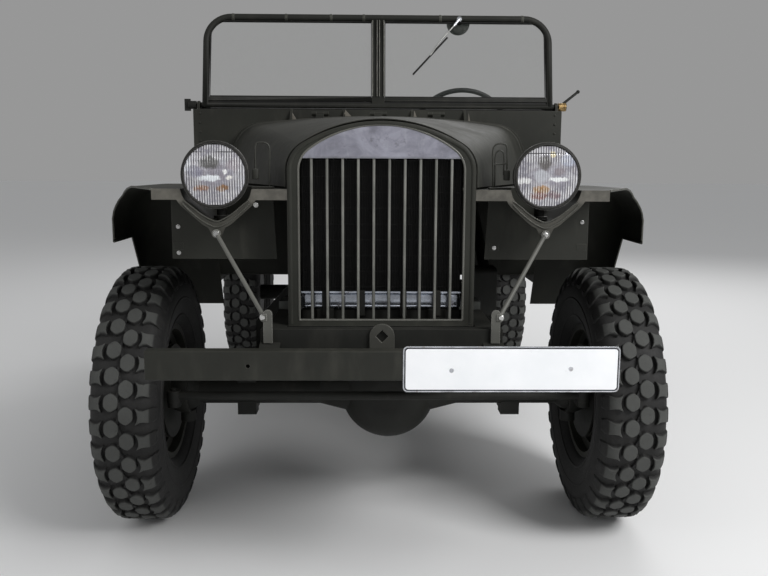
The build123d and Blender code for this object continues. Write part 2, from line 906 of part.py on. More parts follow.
with BuildPart() as grille:
    with BuildSketch(across(shell_front)):
        add(opening_outline(shell_front))
        with Locations((0, grille_top - 200)):
            Rectangle(overall_width, 400, mode=Mode.SUBTRACT)
    extrude(amount=-body_sheet)
    with BuildSketch(Plane.XY.offset(grille_bottom - 12)) as bars:
        with GridLocations(bar_pitch, 1, bar_count, 1):
            with Locations((0, at(shell_front + body_sheet) + bar_depth / 2)):
                Rectangle(bar_width, bar_depth)
        fillet(bars.vertices().group_by(Axis.Y)[0], 3)
    extrude(amount=grille_top - grille_bottom + 30)
finish(grille, "grille")

core_side_gap = 34
core_half = shell_half_width - core_side_gap
core_front = -408
core_depth = 52
with BuildPart() as radiator:
    tanks = [(core_half + 4, 734, 786, 14), (core_half, 786, 1138, 0), (core_half - 18, 1138, 1190, 18)]
    for half, foot, top, corner in tanks:
        with BuildSketch(across(core_front)):
            with Locations((0, (foot + top) / 2)):
                if corner:
                    RectangleRounded(2 * half, top - foot, corner)
                else:
                    Rectangle(2 * half, top - foot)
        extrude(amount=-core_depth)
    with Locations((150, at(core_front + core_depth / 2), 718), (-150, at(core_front + core_depth / 2), 718)):
        Box(50, core_depth, 33)
finish(radiator, "radiator")


# Bonnet: a barrel that flares from the shell to the cowl, and the fixed neck behind it
def barrel(inset):
    """The solid under the bonnet's skin, drawn in by the inset."""
    lap = moving_gap + body_sheet
    front = arch_outline(
        across(bonnet_front),
        shell_half_width + lap - inset,
        bonnet_foot - 2 * inset,
        shell_half_width + lap - inset,
        shell_side_top + 2,
        shell_top + lap - inset,
        shell_corner + 4 - inset,
    )
    rear = arch_outline(
        across(firewall_y),
        bonnet_rear_half_width - inset,
        bonnet_foot - 2 * inset,
        bonnet_shoulder_x - inset,
        bonnet_shoulder_z - inset / 2,
        bonnet_crown - inset,
        bonnet_corner - inset,
    )
    with BuildPart() as form:
        loft(sections=[front.face(), rear.face()])
    return form.part


def keep_between(y0, y1):
    """Cuts the open part to a stretch of the car's length."""
    far = 2 * overall_length
    with Locations((0, at(y0) - far / 2, 0), (0, at(y1) + far / 2, 0)):
        Box(far, far, far, mode=Mode.SUBTRACT)


hinge_y = bonnet_rear + 2
# Bonnet hinges: place across the car and half the length of the bonnet's own barrel
hinges = [(-215, 14), (0, 14), (215, 14)]
crown_rise = bonnet_crown - bonnet_shoulder_z
crown_radius = (bonnet_shoulder_x**2 + crown_rise**2) / (2 * crown_rise)
leaf_top = hinge_z - 4
side_barrel = 17


def leaf_foot(x):
    """The height at which a hinge leaf at this place is let into the curved sheet."""
    return bonnet_crown - 6 - sagitta(crown_radius, x)


with BuildPart() as bonnet:
    add(barrel(0))
    add(barrel(body_sheet), mode=Mode.SUBTRACT)
    keep_between(bonnet_front, bonnet_rear - 3)
    with BuildPart(mode=Mode.PRIVATE) as band:
        add(barrel(-1.5))
        add(barrel(body_sheet / 2), mode=Mode.SUBTRACT)
        keep_between(bonnet_rear - 26, bonnet_rear - 3)
    add(band.part)
    for x, half in hinges:
        with BuildPart(mode=Mode.PRIVATE) as leaf:
            foot = leaf_foot(abs(x) + half)
            with Locations((x, at(hinge_y - 14), (foot + leaf_top) / 2)):
                Box(2 * half, 28, leaf_top - foot)
            with Locations(Location((x, at(hinge_y), hinge_z), (0, 90, 0))):
                Cylinder(hinge_barrel_radius, 2 * half)
                Cylinder(hinge_pin_radius + running_gap, 2 * half + 2, mode=Mode.SUBTRACT)
        add(leaf.part)
finish(bonnet, "bonnet")


# Cowl: front wall, top, neck under the bonnet's edge, gussets and the windscreen's brackets
column_hole_z = steering_wheel_z - (steering_wheel_y - firewall_y) * tan(radians(column_angle))
cowl_rear = 650
gusset_sheet = 8
gusset_top = cowl_top + 2.5
gussets = [-325, -127, 127, 325]
bracket_x = screen_half_width + 12
bracket_sheet = 9

with BuildPart() as cowl:
    with BuildSketch(across(firewall_y)):
        with BuildLine():
            Polyline(
                (-cowl_half_width, floor_z),
                (cowl_half_width, floor_z),
                (cowl_half_width, cowl_top),
                (-cowl_half_width, cowl_top),
                close=True,
            )
        make_face()
        with Locations((steering_wheel_x, column_hole_z)):
            Ellipse(column_radius + 6, column_radius + 8, mode=Mode.SUBTRACT)
        with Locations((0, floor_z)):
            Rectangle(2 * hump_half, 2 * (hump_top - floor_z), mode=Mode.SUBTRACT)
    extrude(amount=-body_sheet)
    with Locations((0, at((firewall_y + cowl_rear) / 2), cowl_top - body_sheet / 2)):
        Box(2 * cowl_half_width, cowl_rear - firewall_y, body_sheet)
    with BuildPart(mode=Mode.PRIVATE) as neck:
        add(barrel(0))
        add(barrel(body_sheet), mode=Mode.SUBTRACT)
        keep_between(bonnet_rear + 4, firewall_y)
    add(neck.part)
    for x in gussets:
        with BuildSketch(Plane.YZ.offset(x - gusset_sheet / 2)):
            with BuildLine():
                Polyline(
                    (at(bonnet_rear + 8), bonnet_crown - 18),
                    (at(firewall_y + 2), bonnet_crown - 18),
                    (at(firewall_y + 2), cowl_top - 2),
                    (at(screen_hinge_y - hinge_tube_radius - 2), cowl_top - 2),
                    (at(screen_hinge_y - hinge_tube_radius - 2), gusset_top),
                    (at(screen_hinge_y - hinge_tube_radius - 8), gusset_top),
                    close=True,
                )
            make_face()
        extrude(amount=gusset_sheet)
    for x, half in hinges:
        for step in (-1, 1):
            start = x + step * (half + seat_gap + side_barrel / 2)
            foot = leaf_foot(abs(start) + side_barrel / 2)
            with Locations((start, at(hinge_y + 12), (foot + leaf_top) / 2)):
                Box(side_barrel, 24, leaf_top - foot)
            with Locations(Location((start, at(hinge_y), hinge_z), (0, 90, 0))):
                Cylinder(hinge_barrel_radius, side_barrel)
        with Locations(Location((x, at(hinge_y), hinge_z), (0, 90, 0))):
            Cylinder(hinge_pin_radius, 2 * (half + side_barrel))
    for side in (-1, 1):
        with BuildSketch(Plane.YZ.offset(side * bracket_x - bracket_sheet / 2)):
            with Locations((at(screen_hinge_y), (cowl_top + screen_hinge_z) / 2)):
                Rectangle(30, screen_hinge_z - cowl_top)
            with Locations((at(screen_hinge_y), screen_hinge_z)):
                Circle(15)
                Circle(screen_pin_radius + running_gap, mode=Mode.SUBTRACT)
        extrude(amount=bracket_sheet)
finish(cowl, "cowl")


# Front fenders: flat top, round shoulder, sloping tail, pressed trough under each lamp
def fender_block(inset):
    """The outside of one fender down to the ground side, smaller by the sheet's thickness for its inside."""
    slope = atan2(fender_top - fender_tail_z, fender_tail_y - fender_slope_y)
    crease_shift = inset * tan(slope / 2)
    tail_shift = inset / sin(slope)
    run = (fender_tail_y - fender_slope_y) / (fender_top - fender_tail_z)
    low = 300
    with BuildPart() as block:
        with BuildSketch(Plane.YZ):
            with BuildLine():
                Polyline(
                    (at(fender_front - 4 * inset), low),
                    (at(fender_front - 4 * inset), fender_top - inset),
                    (at(fender_slope_y) - crease_shift, fender_top - inset),
                    (at(fender_tail_y + run * (fender_tail_z - low)) - tail_shift, low),
                    close=True,
                )
            make_face()
        extrude(amount=overall_width / 2 - inset)
        crease = block.edges().filter_by(Axis.X).group_by(Axis.Z)[-1].sort_by(Axis.Y)[-1]
        fillet(crease, fender_crease - inset)
        rim_edges = block.faces().sort_by(Axis.X)[-1].edges()
        fillet(rim_edges.filter_by(Axis.Z, reverse=True).sort_by(Axis.Z)[1:], fender_shoulder - inset)
    return block.part


trough_slope = atan2(trough_knee - trough_vertex, trough_half_knee)
valley_centre = trough_vertex + valley_round / cos(trough_slope)


def trough_floor(x):
    """The height of the trough's inside near its valley, at a distance from its middle."""
    return valley_centre - sqrt(valley_round**2 - x**2)


def trough_outline(plane, shift):
    """The trough's V-shaped section, closed above the fender and wider all round by the given amount."""
    with BuildSketch(plane) as outline:
        with BuildLine():
            Polyline(
                (trough_x - trough_half_top, fender_top + 4),
                (trough_x - trough_half_knee, trough_knee),
                (trough_x, trough_vertex),
                (trough_x + trough_half_knee, trough_knee),
                (trough_x + trough_half_top, fender_top + 4),
                close=True,
            )
        make_face()
        knees = outline.vertices().filter_by(lambda v: abs(v.Y - trough_knee) < 1)
        fillet(knees, knee_round)
        fillet(outline.vertices().sort_by(Axis.Y)[0], valley_round)
        if shift:
            offset(amount=shift, kind=Kind.INTERSECTION)
    return outline.sketch


with BuildPart() as front_fenders:
    add(fender_block(0))
    add(fender_block(body_sheet), mode=Mode.SUBTRACT)
    with BuildSketch(Plane.YZ):
        with BuildLine():
            Polyline(
                (at(fender_front - 20), fender_skirt),
                (at(215), fender_skirt),
                (at(410), fender_tail_z),
                (at(fender_tail_y + 200), fender_tail_z),
                (at(fender_tail_y + 200), 200),
                (at(fender_front - 20), 200),
                close=True,
            )
        make_face()
    extrude(amount=overall_width, mode=Mode.SUBTRACT)
    with BuildSketch(Plane.XY.offset(fender_tail_z - 10)):
        with BuildLine():
            Polyline(
                (strip_end, at(fender_front)),
                (overall_width / 2 - 45, at(flare_y - 30)),
                (overall_width / 2 + 10, at(flare_y)),
                (overall_width / 2 + 10, at(fender_front - 60)),
                (strip_end, at(fender_front - 60)),
                close=True,
            )
        make_face()
        with BuildLine():
            Polyline(
                (-10, at(fender_front - 60)),
                (shell_half_width + seat_gap, at(fender_front - 60)),
                (shell_half_width + seat_gap, at(bonnet_front)),
                (490, at(fender_slope_y - 10)),
                (apron_x, at(fender_slope_y - 10)),
                (apron_x, at(firewall_y + 200)),
                (-10, at(firewall_y + 200)),
                close=True,
            )
        make_face()
    extrude(amount=fender_top, mode=Mode.SUBTRACT)
    trough_run = trough_rear - fender_front
    extrude(trough_outline(across(fender_front - 1), 0), amount=-trough_run, mode=Mode.SUBTRACT)
    with BuildPart(mode=Mode.PRIVATE) as trough:
        extrude(trough_outline(across(fender_front), body_sheet), amount=-trough_run)
        inner = trough_outline(across(fender_front - 1), 0)
        extrude(inner, amount=-(trough_run + 1 - body_sheet), mode=Mode.SUBTRACT)
        with Locations((trough_x, at(0), fender_top + 50)):
            Box(overall_width, overall_length, 100, mode=Mode.SUBTRACT)
    add(trough.part)
    with BuildSketch(across(fender_front)):
        half = shell_half_width + seat_gap
        with Locations(((half + strip_end) / 2, fender_top - strip_height / 2)):
            Rectangle(strip_end - half, strip_height)
        add(trough_outline(Plane.XY, strip_width))
        with BuildLine():
            Polyline(
                (trough_x - 28, trough_floor(0) - 3),
                (trough_x + 28, trough_floor(0) - 3),
                (trough_x + tab_radius - 1, brace_top[2] - tab_radius),
                (trough_x - tab_radius + 1, brace_top[2] - tab_radius),
                close=True,
            )
        make_face()
        with Locations((trough_x, fender_top + 50)):
            Rectangle(overall_width, 100, mode=Mode.SUBTRACT)
        add(trough_outline(Plane.XY, 0), mode=Mode.SUBTRACT)
    extrude(amount=-strip_sheet)
    with BuildSketch(Plane.XY.offset(apron_foot)):
        with BuildLine():
            Polyline(
                (apron_front_x, at(apron_front)),
                (apron_x, at(flare_y)),
                (apron_x, at(firewall_y - seat_gap)),
                (apron_x + body_sheet, at(firewall_y - seat_gap)),
                (apron_x + body_sheet, at(flare_y)),
                (apron_front_x + body_sheet, at(apron_front)),
                close=True,
            )
        make_face()
    extrude(amount=fender_top - 1 - apron_foot)
    with BuildSketch(Plane.XY.offset(fender_top - body_sheet)):
        with BuildLine():
            Polyline(
                (478, at(fender_slope_y - 20)),
                (apron_x + body_sheet, at(fender_slope_y - 20)),
                (apron_x + body_sheet, at(firewall_y - seat_gap)),
                (bonnet_rear_half_width - 24, at(firewall_y - seat_gap)),
                close=True,
            )
        make_face()
    extrude(amount=body_sheet)
    with BuildSketch(across(apron_front)):
        with BuildLine():
            Polyline(
                (shell_half_width + 50, fender_top - 1),
                (shell_half_width + 40, apron_foot),
                (apron_front_x + 1, apron_foot),
                (apron_front_x + 1, fender_top - 1),
                close=True,
            )
        make_face()
        add(trough_outline(Plane.XY, 1), mode=Mode.SUBTRACT)
    extrude(amount=-body_sheet)
    mirror(about=Plane.YZ)
finish(front_fenders, "front_fenders")


# Headlamps: bowl with its rim and post, and the lens as a piece of its own
lamp_post_radius = 14
lamp_bowl_z = lamp_z - 50
tail_centre = 72
lamp_plane = Plane(origin=(trough_x, at(lamp_y), lamp_z), x_dir=(0, 1, 0), z_dir=(1, 0, 0))
lamp_axis = Axis((trough_x, 0, lamp_z), (0, 1, 0))


def bowl(inset):
    """The lamp's outside, or with an inset the space inside it: a rim, a slight cone and a round back."""
    tail_radius = lamp_depth - tail_centre - inset
    diagonal = tail_radius * sqrt(0.5)
    with BuildPart() as form:
        with BuildSketch(lamp_plane):
            with BuildLine():
                Polyline(
                    (tail_centre, tail_radius),
                    (20, lamp_radius - 5 - inset),
                    (14, lamp_radius - inset),
                    (0, lamp_radius - inset),
                    (0, 0),
                    (tail_centre + tail_radius, 0),
                )
                tail_end = (tail_centre + tail_radius, 0)
                ThreePointArc(tail_end, (tail_centre + diagonal, diagonal), (tail_centre, tail_radius))
            make_face()
        revolve(axis=lamp_axis)
    return form.part


post_foot = trough_floor(lamp_post_radius) + seat_gap
collar_foot = trough_floor(lamp_post_radius + 8) + seat_gap
with BuildPart() as headlamps:
    add(bowl(0))
    post_y = at(lamp_y + 92)
    with Locations((trough_x, post_y, (lamp_bowl_z + post_foot) / 2)):
        Cylinder(lamp_post_radius, lamp_bowl_z - post_foot)
    with Locations((trough_x, post_y, collar_foot + 4)):
        Cylinder(lamp_post_radius + 8, 8)
    with BuildPart(mode=Mode.PRIVATE) as inside:
        add(bowl(lamp_sheet))
        with Locations((trough_x, at(lamp_y) + 1, lamp_z)):
            Box(3 * lamp_radius, 2, 3 * lamp_radius, mode=Mode.SUBTRACT)
    add(inside.part, mode=Mode.SUBTRACT)
    with BuildSketch(Plane.XZ.offset(-at(lamp_y))):
        with Locations((trough_x, lamp_z)):
            Circle(lens_radius + 1)
    extrude(amount=-2, mode=Mode.SUBTRACT)
    mirror(about=Plane.YZ)
finish(headlamps, "headlamps")

with BuildPart() as headlamp_lenses:
    with BuildSketch(lamp_plane):
        with BuildLine():
            Line((2 + seat_gap, 0), (2 + seat_gap, lamp_radius - 3))
            Line((2 + seat_gap, lamp_radius - 3), (5, lamp_radius - 3))
            Line((5, lamp_radius - 3), (5, 0))
            Line((5, 0), (2 + seat_gap, 0))
        make_face()
    revolve(axis=Axis((trough_x, 0, lamp_z), (0, 1, 0)))
    mirror(about=Plane.YZ)
finish(headlamp_lenses, "headlamp_lenses")


# Windscreen: tube frame, bottom rail, centre post, two panes, wiper and clamps
rake = radians(screen_rake)
screen_plane = Plane(
    origin=(0, at(screen_hinge_y), screen_hinge_z), x_dir=(1, 0, 0), z_dir=(0, -cos(rake), sin(rake))
)
tube_radius = screen_tube / 2
tube_x = screen_half_width - tube_radius
tube_top = screen_height - tube_radius
rail_foot = 17
rail_rise = 14
pin_end = 700

with BuildPart() as windscreen_frame:
    with BuildLine(screen_plane) as hoop:
        corners = [(-tube_x, 0), (-tube_x, tube_top), (tube_x, tube_top), (tube_x, 0)]
        FilletPolyline(*corners, radius=screen_corner - tube_radius)
    with BuildSketch(Plane(origin=hoop.line @ 0, z_dir=hoop.line % 0)):
        Circle(tube_radius)
    sweep(path=hoop.line)
    with Locations(Location((0, at(screen_hinge_y), screen_hinge_z), (0, 90, 0))):
        Cylinder(hinge_tube_radius, 2 * (bracket_x - bracket_sheet / 2 - 1.5))
        Cylinder(screen_pin_radius, 2 * pin_end)
    with BuildSketch(screen_plane.offset(-rail_rise / 2)):
        with Locations((0, rail_foot + rail_rise / 2)):
            Rectangle(2 * (tube_x - 8), rail_rise)
    extrude(amount=rail_rise)
    with BuildSketch(screen_plane.offset(-8)):
        with Locations((0, (tube_top + 6) / 2)):
            Rectangle(screen_post, tube_top - 6)
    extrude(amount=16)
finish(windscreen_frame, "windscreen_frame")

pane_inner = screen_post / 2 + seat_gap
pane_outer = tube_x - tube_radius - seat_gap
pane_foot = rail_foot + rail_rise + seat_gap
pane_top = tube_top - tube_radius - seat_gap
pane_corner = screen_corner - screen_tube
wiper_x = 308
wiper_y = 321

with BuildPart() as windscreen_glass:
    with BuildSketch(screen_plane.offset(-glass_sheet / 2)) as pane:
        with Locations(((pane_inner + pane_outer) / 2, (pane_foot + pane_top) / 2)):
            Rectangle(pane_outer - pane_inner, pane_top - pane_foot)
        fillet(pane.vertices().group_by(Axis.Y)[-1].sort_by(Axis.X)[-1], pane_corner)
        mirror(about=Plane.YZ)
        with Locations((wiper_x, wiper_y)):
            Circle(7, mode=Mode.SUBTRACT)
        with Locations((wiper_x, wiper_y + 10)):
            Rectangle(14, 20, mode=Mode.SUBTRACT)
    extrude(amount=glass_sheet)
finish(windscreen_glass, "windscreen_glass")


def on_screen(x, y, z):
    """A point of the windscreen's own plane, z towards the front."""
    return tuple(screen_plane.from_local_coords((x, y, z)))


with BuildPart() as wiper:
    with BuildSketch(screen_plane.offset(-tube_radius - seat_gap)):
        with Locations((wiper_x, wiper_y)):
            Circle(44)
    extrude(amount=-36)
    fillet(wiper.edges().filter_by(GeomType.CIRCLE), 5)
    add(round_bar(on_screen(wiper_x, wiper_y, -20), on_screen(wiper_x, wiper_y, 16), 5))
    add(round_bar(on_screen(wiper_x, wiper_y, 11), on_screen(233, 231, 11), 3.5))
    with BuildSketch(screen_plane.offset(5.5)):
        with Locations((wiper_x, wiper_y - 1)):
            Circle(5)
        with Locations((233, 231)):
            Circle(6)
    add(round_bar(on_screen(262, 263, 9), on_screen(132, 120, 9), 4))
    with BuildSketch(screen_plane.offset(glass_sheet / 2 + seat_gap)):
        with Locations(Location(((262 + 132) / 2, (263 + 120) / 2, 0), (0, 0, degrees(atan2(143, 130))))):
            Rectangle(hypot(143, 130), 3)
    extrude(amount=6)
finish(wiper, "wiper")

clamp_start = bracket_x + bracket_sheet / 2 + moving_gap
clamp_length = 29
with BuildPart() as screen_clamps:
    for side in (1, -1):
        middle = side * (clamp_start + clamp_length / 2)
        with Locations(Location((middle, at(screen_hinge_y), screen_hinge_z), (0, 90, 0))):
            Cylinder(15, clamp_length)
    lever_root = (clamp_start + clamp_length / 2, at(screen_hinge_y), screen_hinge_z + 10)
    lever_tip = (759, at(screen_hinge_y + 10), 1407)
    add(round_bar(lever_root, lever_tip, 5))
    with Locations(lever_tip):
        Sphere(7)
    with Locations((-clamp_start - clamp_length - 4, at(screen_hinge_y), screen_hinge_z)):
        Box(22, 10, 44)
    with Locations(Location((0, at(screen_hinge_y), screen_hinge_z), (0, 90, 0))):
        Cylinder(screen_pin_radius + seat_gap, 2 * (pin_end + seat_gap), mode=Mode.SUBTRACT)
finish(screen_clamps, "screen_clamps")


# Rear wheel boxes: an arch of sheet over each wheel, let into the body's sides
box_front = wheelbase - wheel_box_half
box_rear = wheelbase + wheel_box_half
box_lean = 80
box_foot = 600
box_tail = 700


def arch_form(plane, inset):
    """The arch's section, open below once its foot is cut off."""
    low = box_foot - 100
    lean = box_lean * (wheel_box_top - low) / (wheel_box_top - box_foot)
    with BuildSketch(plane) as form:
        with BuildLine():
            Polyline(
                (at(box_front + box_lean - lean), low),
                (at(box_front + box_lean), wheel_box_top),
                (at(box_rear - box_lean), wheel_box_top),
                (at(box_rear - box_lean + lean), low),
                close=True,
            )
        make_face()
        fillet(form.vertices().group_by(Axis.Y)[-1], 120)
        if inset:
            offset(amount=-inset, mode=Mode.REPLACE)
    return form.sketch


def box_below(y0, y1, z):
    """A block that clears everything below a height between two places along the car."""
    with BuildPart() as block:
        with Locations((0, at((y0 + y1) / 2), z / 2)):
            Box(2 * overall_width, y1 - y0, z)
    return block.part


lip_sheet = body_sheet
with BuildPart() as wheel_boxes:
    extrude(arch_form(Plane.YZ.offset(wheel_box_x), 0), amount=rear_fender_x - wheel_box_x)
    inner = arch_form(Plane.YZ.offset(wheel_box_x + body_sheet), body_sheet)
    extrude(inner, amount=rear_fender_x - wheel_box_x - body_sheet - lip_sheet, mode=Mode.SUBTRACT)
    rim_form = arch_form(Plane.YZ.offset(rear_fender_x - lip_sheet - 1), 22)
    extrude(rim_form, amount=lip_sheet + 2, mode=Mode.SUBTRACT)
    add(box_below(box_front - 200, wheelbase, box_foot), mode=Mode.SUBTRACT)
    add(box_below(wheelbase, box_rear + 200, box_tail), mode=Mode.SUBTRACT)
    panel_inner = body_rear - body_sheet - seat_gap
    with Locations((wheel_box_x + body_sheet / 2, at(panel_inner + 200), wheel_box_top / 2)):
        Box(body_sheet + 2, 400, wheel_box_top - 2 * body_sheet, mode=Mode.SUBTRACT)
    mirror(about=Plane.YZ)
finish(wheel_boxes, "wheel_boxes")

# Body: sides with their door cut-outs, floor, rear panel and instrument panel
side_front = firewall_y + body_sheet + seat_gap
side_rear = body_rear - body_sheet - seat_gap
side_x = cowl_half_width - body_sheet
cowl_side_top = cowl_top - body_sheet - seat_gap
bow_y = 1420
bow_radius = 12.5
bow_socket_radius = 18
bow_socket_length = 80


def side_outline(plane):
    """One side seen from the outside, with the door opening's rounded corners."""
    with BuildSketch(plane) as outline:
        with BuildLine():
            Polyline(
                (at(side_front), body_bottom),
                (at(side_front), cowl_side_top),
                (at(cowl_rear), cowl_side_top),
                (at(door_front + 25), door_bottom),
                (at(door_rear), door_bottom),
                (at(door_rear), body_top),
                (at(side_rear), body_top),
                (at(side_rear), body_bottom),
                close=True,
            )
        make_face()
        door_feet = outline.vertices().filter_by(lambda v: abs(v.Y - door_bottom) < 1)
        fillet(door_feet, door_corner)
        door_head = outline.vertices().filter_by(lambda v: abs(v.Y - body_top) < 1).sort_by(Axis.X)[0]
        fillet(door_head, 45)
    return outline.sketch


with BuildPart() as body_sides:
    extrude(side_outline(Plane.YZ.offset(side_x)), amount=body_sheet)
    outer = side_outline(Plane.YZ.offset(side_x - edge_flange))
    with BuildPart(mode=Mode.PRIVATE) as turned_edge:
        extrude(outer, amount=edge_flange + body_sheet)
        with BuildSketch(Plane.YZ.offset(side_x - edge_flange - 1)):
            add(offset(side_outline(Plane.YZ), amount=-body_sheet, mode=Mode.PRIVATE))
        extrude(amount=edge_flange + body_sheet + 2, mode=Mode.SUBTRACT)
        with Locations((side_x, at(side_front - 400 + 30), 900), (side_x, at(side_rear + 400 - 30), 900)):
            Box(400, 800, 2000, mode=Mode.SUBTRACT)
        add(box_below(0, 2 * wheelbase, door_bottom - 40), mode=Mode.SUBTRACT)
    add(turned_edge.part)
    with BuildPart(mode=Mode.PRIVATE) as arch_cut:
        extrude(arch_form(Plane.YZ.offset(side_x - 50), -seat_gap), amount=100)
    add(arch_cut.part, mode=Mode.SUBTRACT)
    with Locations((side_x - 2 - bow_socket_radius, at(bow_y), body_top - bow_socket_length / 2)):
        Cylinder(bow_socket_radius, bow_socket_length)
        Cylinder(bow_radius, bow_socket_length, mode=Mode.SUBTRACT)
    with Locations((side_x - 2, at(bow_y), body_top - bow_socket_length / 2)):
        Box(6, 20, bow_socket_length - 20)
    with Locations((side_x - 2 - bow_socket_radius, at(bow_y), body_top - bow_socket_length / 2)):
        Cylinder(bow_radius, bow_socket_length, mode=Mode.SUBTRACT)
    mirror(about=Plane.YZ)
finish(body_sides, "body_sides")

# Pressed swages of the rear panel: height and half length; and of the floor: place across the car
rear_swages = [(1130, 600), (770, 530)]
floor_swages = [-400, -240, -80, 80, 240, 400]
swage_width = 24
swage_rise = 4

with BuildPart() as rear_panel:
    with BuildSketch(across(body_rear)) as panel:
        with Locations((0, (body_bottom + 20 + body_top) / 2)):
            Rectangle(2 * cowl_half_width, body_top - body_bottom - 20)
        fillet(panel.vertices().group_by(Axis.Y)[-1], 40)
    extrude(amount=body_sheet)
    with BuildPart(mode=Mode.PRIVATE) as tail_cut:
        extrude(arch_form(Plane.YZ.offset(wheel_box_x - seat_gap), -seat_gap), amount=400)
        mirror(about=Plane.YZ)
    add(tail_cut.part, mode=Mode.SUBTRACT)
    with Locations((0, at(body_rear - body_sheet - seat_gap / 2 + 1.4), body_top - 6)):
        Cylinder(6, 2 * cowl_half_width - 90, rotation=(0, 90, 0))
    for height, half in rear_swages:
        with BuildSketch(across(body_rear - 1)):
            with Locations((0, height)):
                SlotOverall(2 * half, swage_width)
        swage = extrude(amount=-swage_rise - 1)
        fillet(swage.faces().sort_by(Axis.Y)[-1].edges(), swage_rise - 1)
finish(rear_panel, "rear_panel")

toe_top = 900
toe_rear = 720
toe_sheet = 4
toe_foot = floor_z + seat_gap
hump_corner = 25
bolster_height = floor_z - body_sheet - frame_top
swage_front = hump_rear + 20
swage_rear = 1940

with BuildPart() as body_floor:
    with Locations((0, at((firewall_y - 5 + side_rear) / 2), floor_z - body_sheet / 2)):
        Box(2 * (side_x - seat_gap), side_rear - firewall_y + 5, body_sheet)
    well_front = firewall_y - 10
    well_rear = hump_rear - body_sheet
    with Locations((0, at((well_front + well_rear) / 2), floor_z)):
        Box(2 * (hump_half - body_sheet), well_rear - well_front, 4 * body_sheet, mode=Mode.SUBTRACT)
    for side in (1, -1):
        with Locations((side * (wheel_box_x - seat_gap + 100), at(box_front + 500), floor_z)):
            Box(200, 1000, 100, mode=Mode.SUBTRACT)
    with GridLocations(2 * (rail_x - rail_flange / 2), 560, 2, 3):
        with Locations((0, at(1480), frame_top + seat_gap + (bolster_height - seat_gap) / 2)):
            Box(40, 90, bolster_height - seat_gap)
    for x in floor_swages:
        with BuildSketch(Plane.XY.offset(floor_z - 1)):
            with Locations(Location((x, at((swage_front + swage_rear) / 2), 0), (0, 0, 90))):
                SlotOverall(swage_rear - swage_front, swage_width)
        swage = extrude(amount=swage_rise + 1)
        fillet(swage.faces().sort_by(Axis.Z)[-1].edges(), swage_rise - 1)
finish(body_floor, "body_floor")


def hump_outline(plane, grow, foot):
    """The gearbox hump's section: a flat top and round shoulders, wider all round by the given amount."""
    top = hump_top + grow
    with BuildSketch(plane) as outline:
        with Locations((0, (foot + top) / 2)):
            Rectangle(2 * (hump_half + grow), top - foot)
        fillet(outline.vertices().group_by(Axis.Y)[-1], hump_corner + grow)
    return outline.sketch


with BuildPart() as gearbox_hump:
    hump_run = hump_rear - side_front
    extrude(hump_outline(across(side_front), 0, floor_z + seat_gap), amount=-hump_run)
    hollow = hump_outline(across(side_front - 1), -body_sheet, floor_z - 1)
    extrude(hollow, amount=-(hump_run + 1 - body_sheet), mode=Mode.SUBTRACT)
finish(gearbox_hump, "gearbox_hump")

with BuildPart() as toe_board:
    toe_half = side_x - edge_flange - seat_gap
    with BuildSketch(Plane.YZ.offset(-toe_half)):
        with BuildLine():
            Polyline(
                (at(side_front), toe_top),
                (at(toe_rear), toe_foot),
                (at(toe_rear) - toe_sheet, toe_foot),
                (at(side_front), toe_top - toe_sheet),
                close=True,
            )
        make_face()
    extrude(amount=2 * toe_half)
    notch = hump_outline(across(side_front - 1), seat_gap, floor_z - 1)
    extrude(notch, amount=-(toe_rear - side_front + 2), mode=Mode.SUBTRACT)
finish(toe_board, "toe_board")

panel_y = cowl_rear - 20
with BuildPart() as instrument_panel:
    with BuildSketch(across(panel_y)) as dash:
        with Locations((0, (1180 + cowl_side_top) / 2)):
            Rectangle(760, cowl_side_top - 1180)
        fillet(dash.vertices().group_by(Axis.Y)[0], 40)
    extrude(amount=-body_sheet)
    with BuildSketch(across(panel_y + body_sheet)):
        for x, z, radius in ((0, 1262, 42), (-105, 1262, 30), (105, 1262, 30), (-185, 1262, 30)):
            with Locations((x, z)):
                Circle(radius)
    extrude(amount=-8)
finish(instrument_panel, "instrument_panel")


# Steering column with its box on the rail, and the steering wheel with its shaft
tilt = radians(column_angle)
shaft_end = 1000
wheel_centre = (steering_wheel_x, at(steering_wheel_y), steering_wheel_z)
shaft_radius = 10


def on_column(run):
    """A point on the column's axis, this far down from the wheel's middle."""
    return (steering_wheel_x, at(steering_wheel_y) - run * cos(tilt), steering_wheel_z - run * sin(tilt))


box_y = steering_wheel_y - shaft_end * cos(tilt)
with BuildPart() as steering_column:
    add(round_bar(on_column(60), on_column(shaft_end - 30), column_radius))
    with Locations(((rail_x + seat_gap + 378) / 2, at(box_y), (640 + 800) / 2)):
        Box(378 - rail_x - seat_gap, 110, 160)
    fillet(steering_column.edges().filter_by(Axis.X), 16)
    with Locations((steering_wheel_x, at(panel_y - seat_gap - 2), 1152)):
        Box(30, 4, 120)
    add(round_bar(on_column(50), on_column(shaft_end - 40), shaft_radius + running_gap), mode=Mode.SUBTRACT)
finish(steering_column, "steering_column")

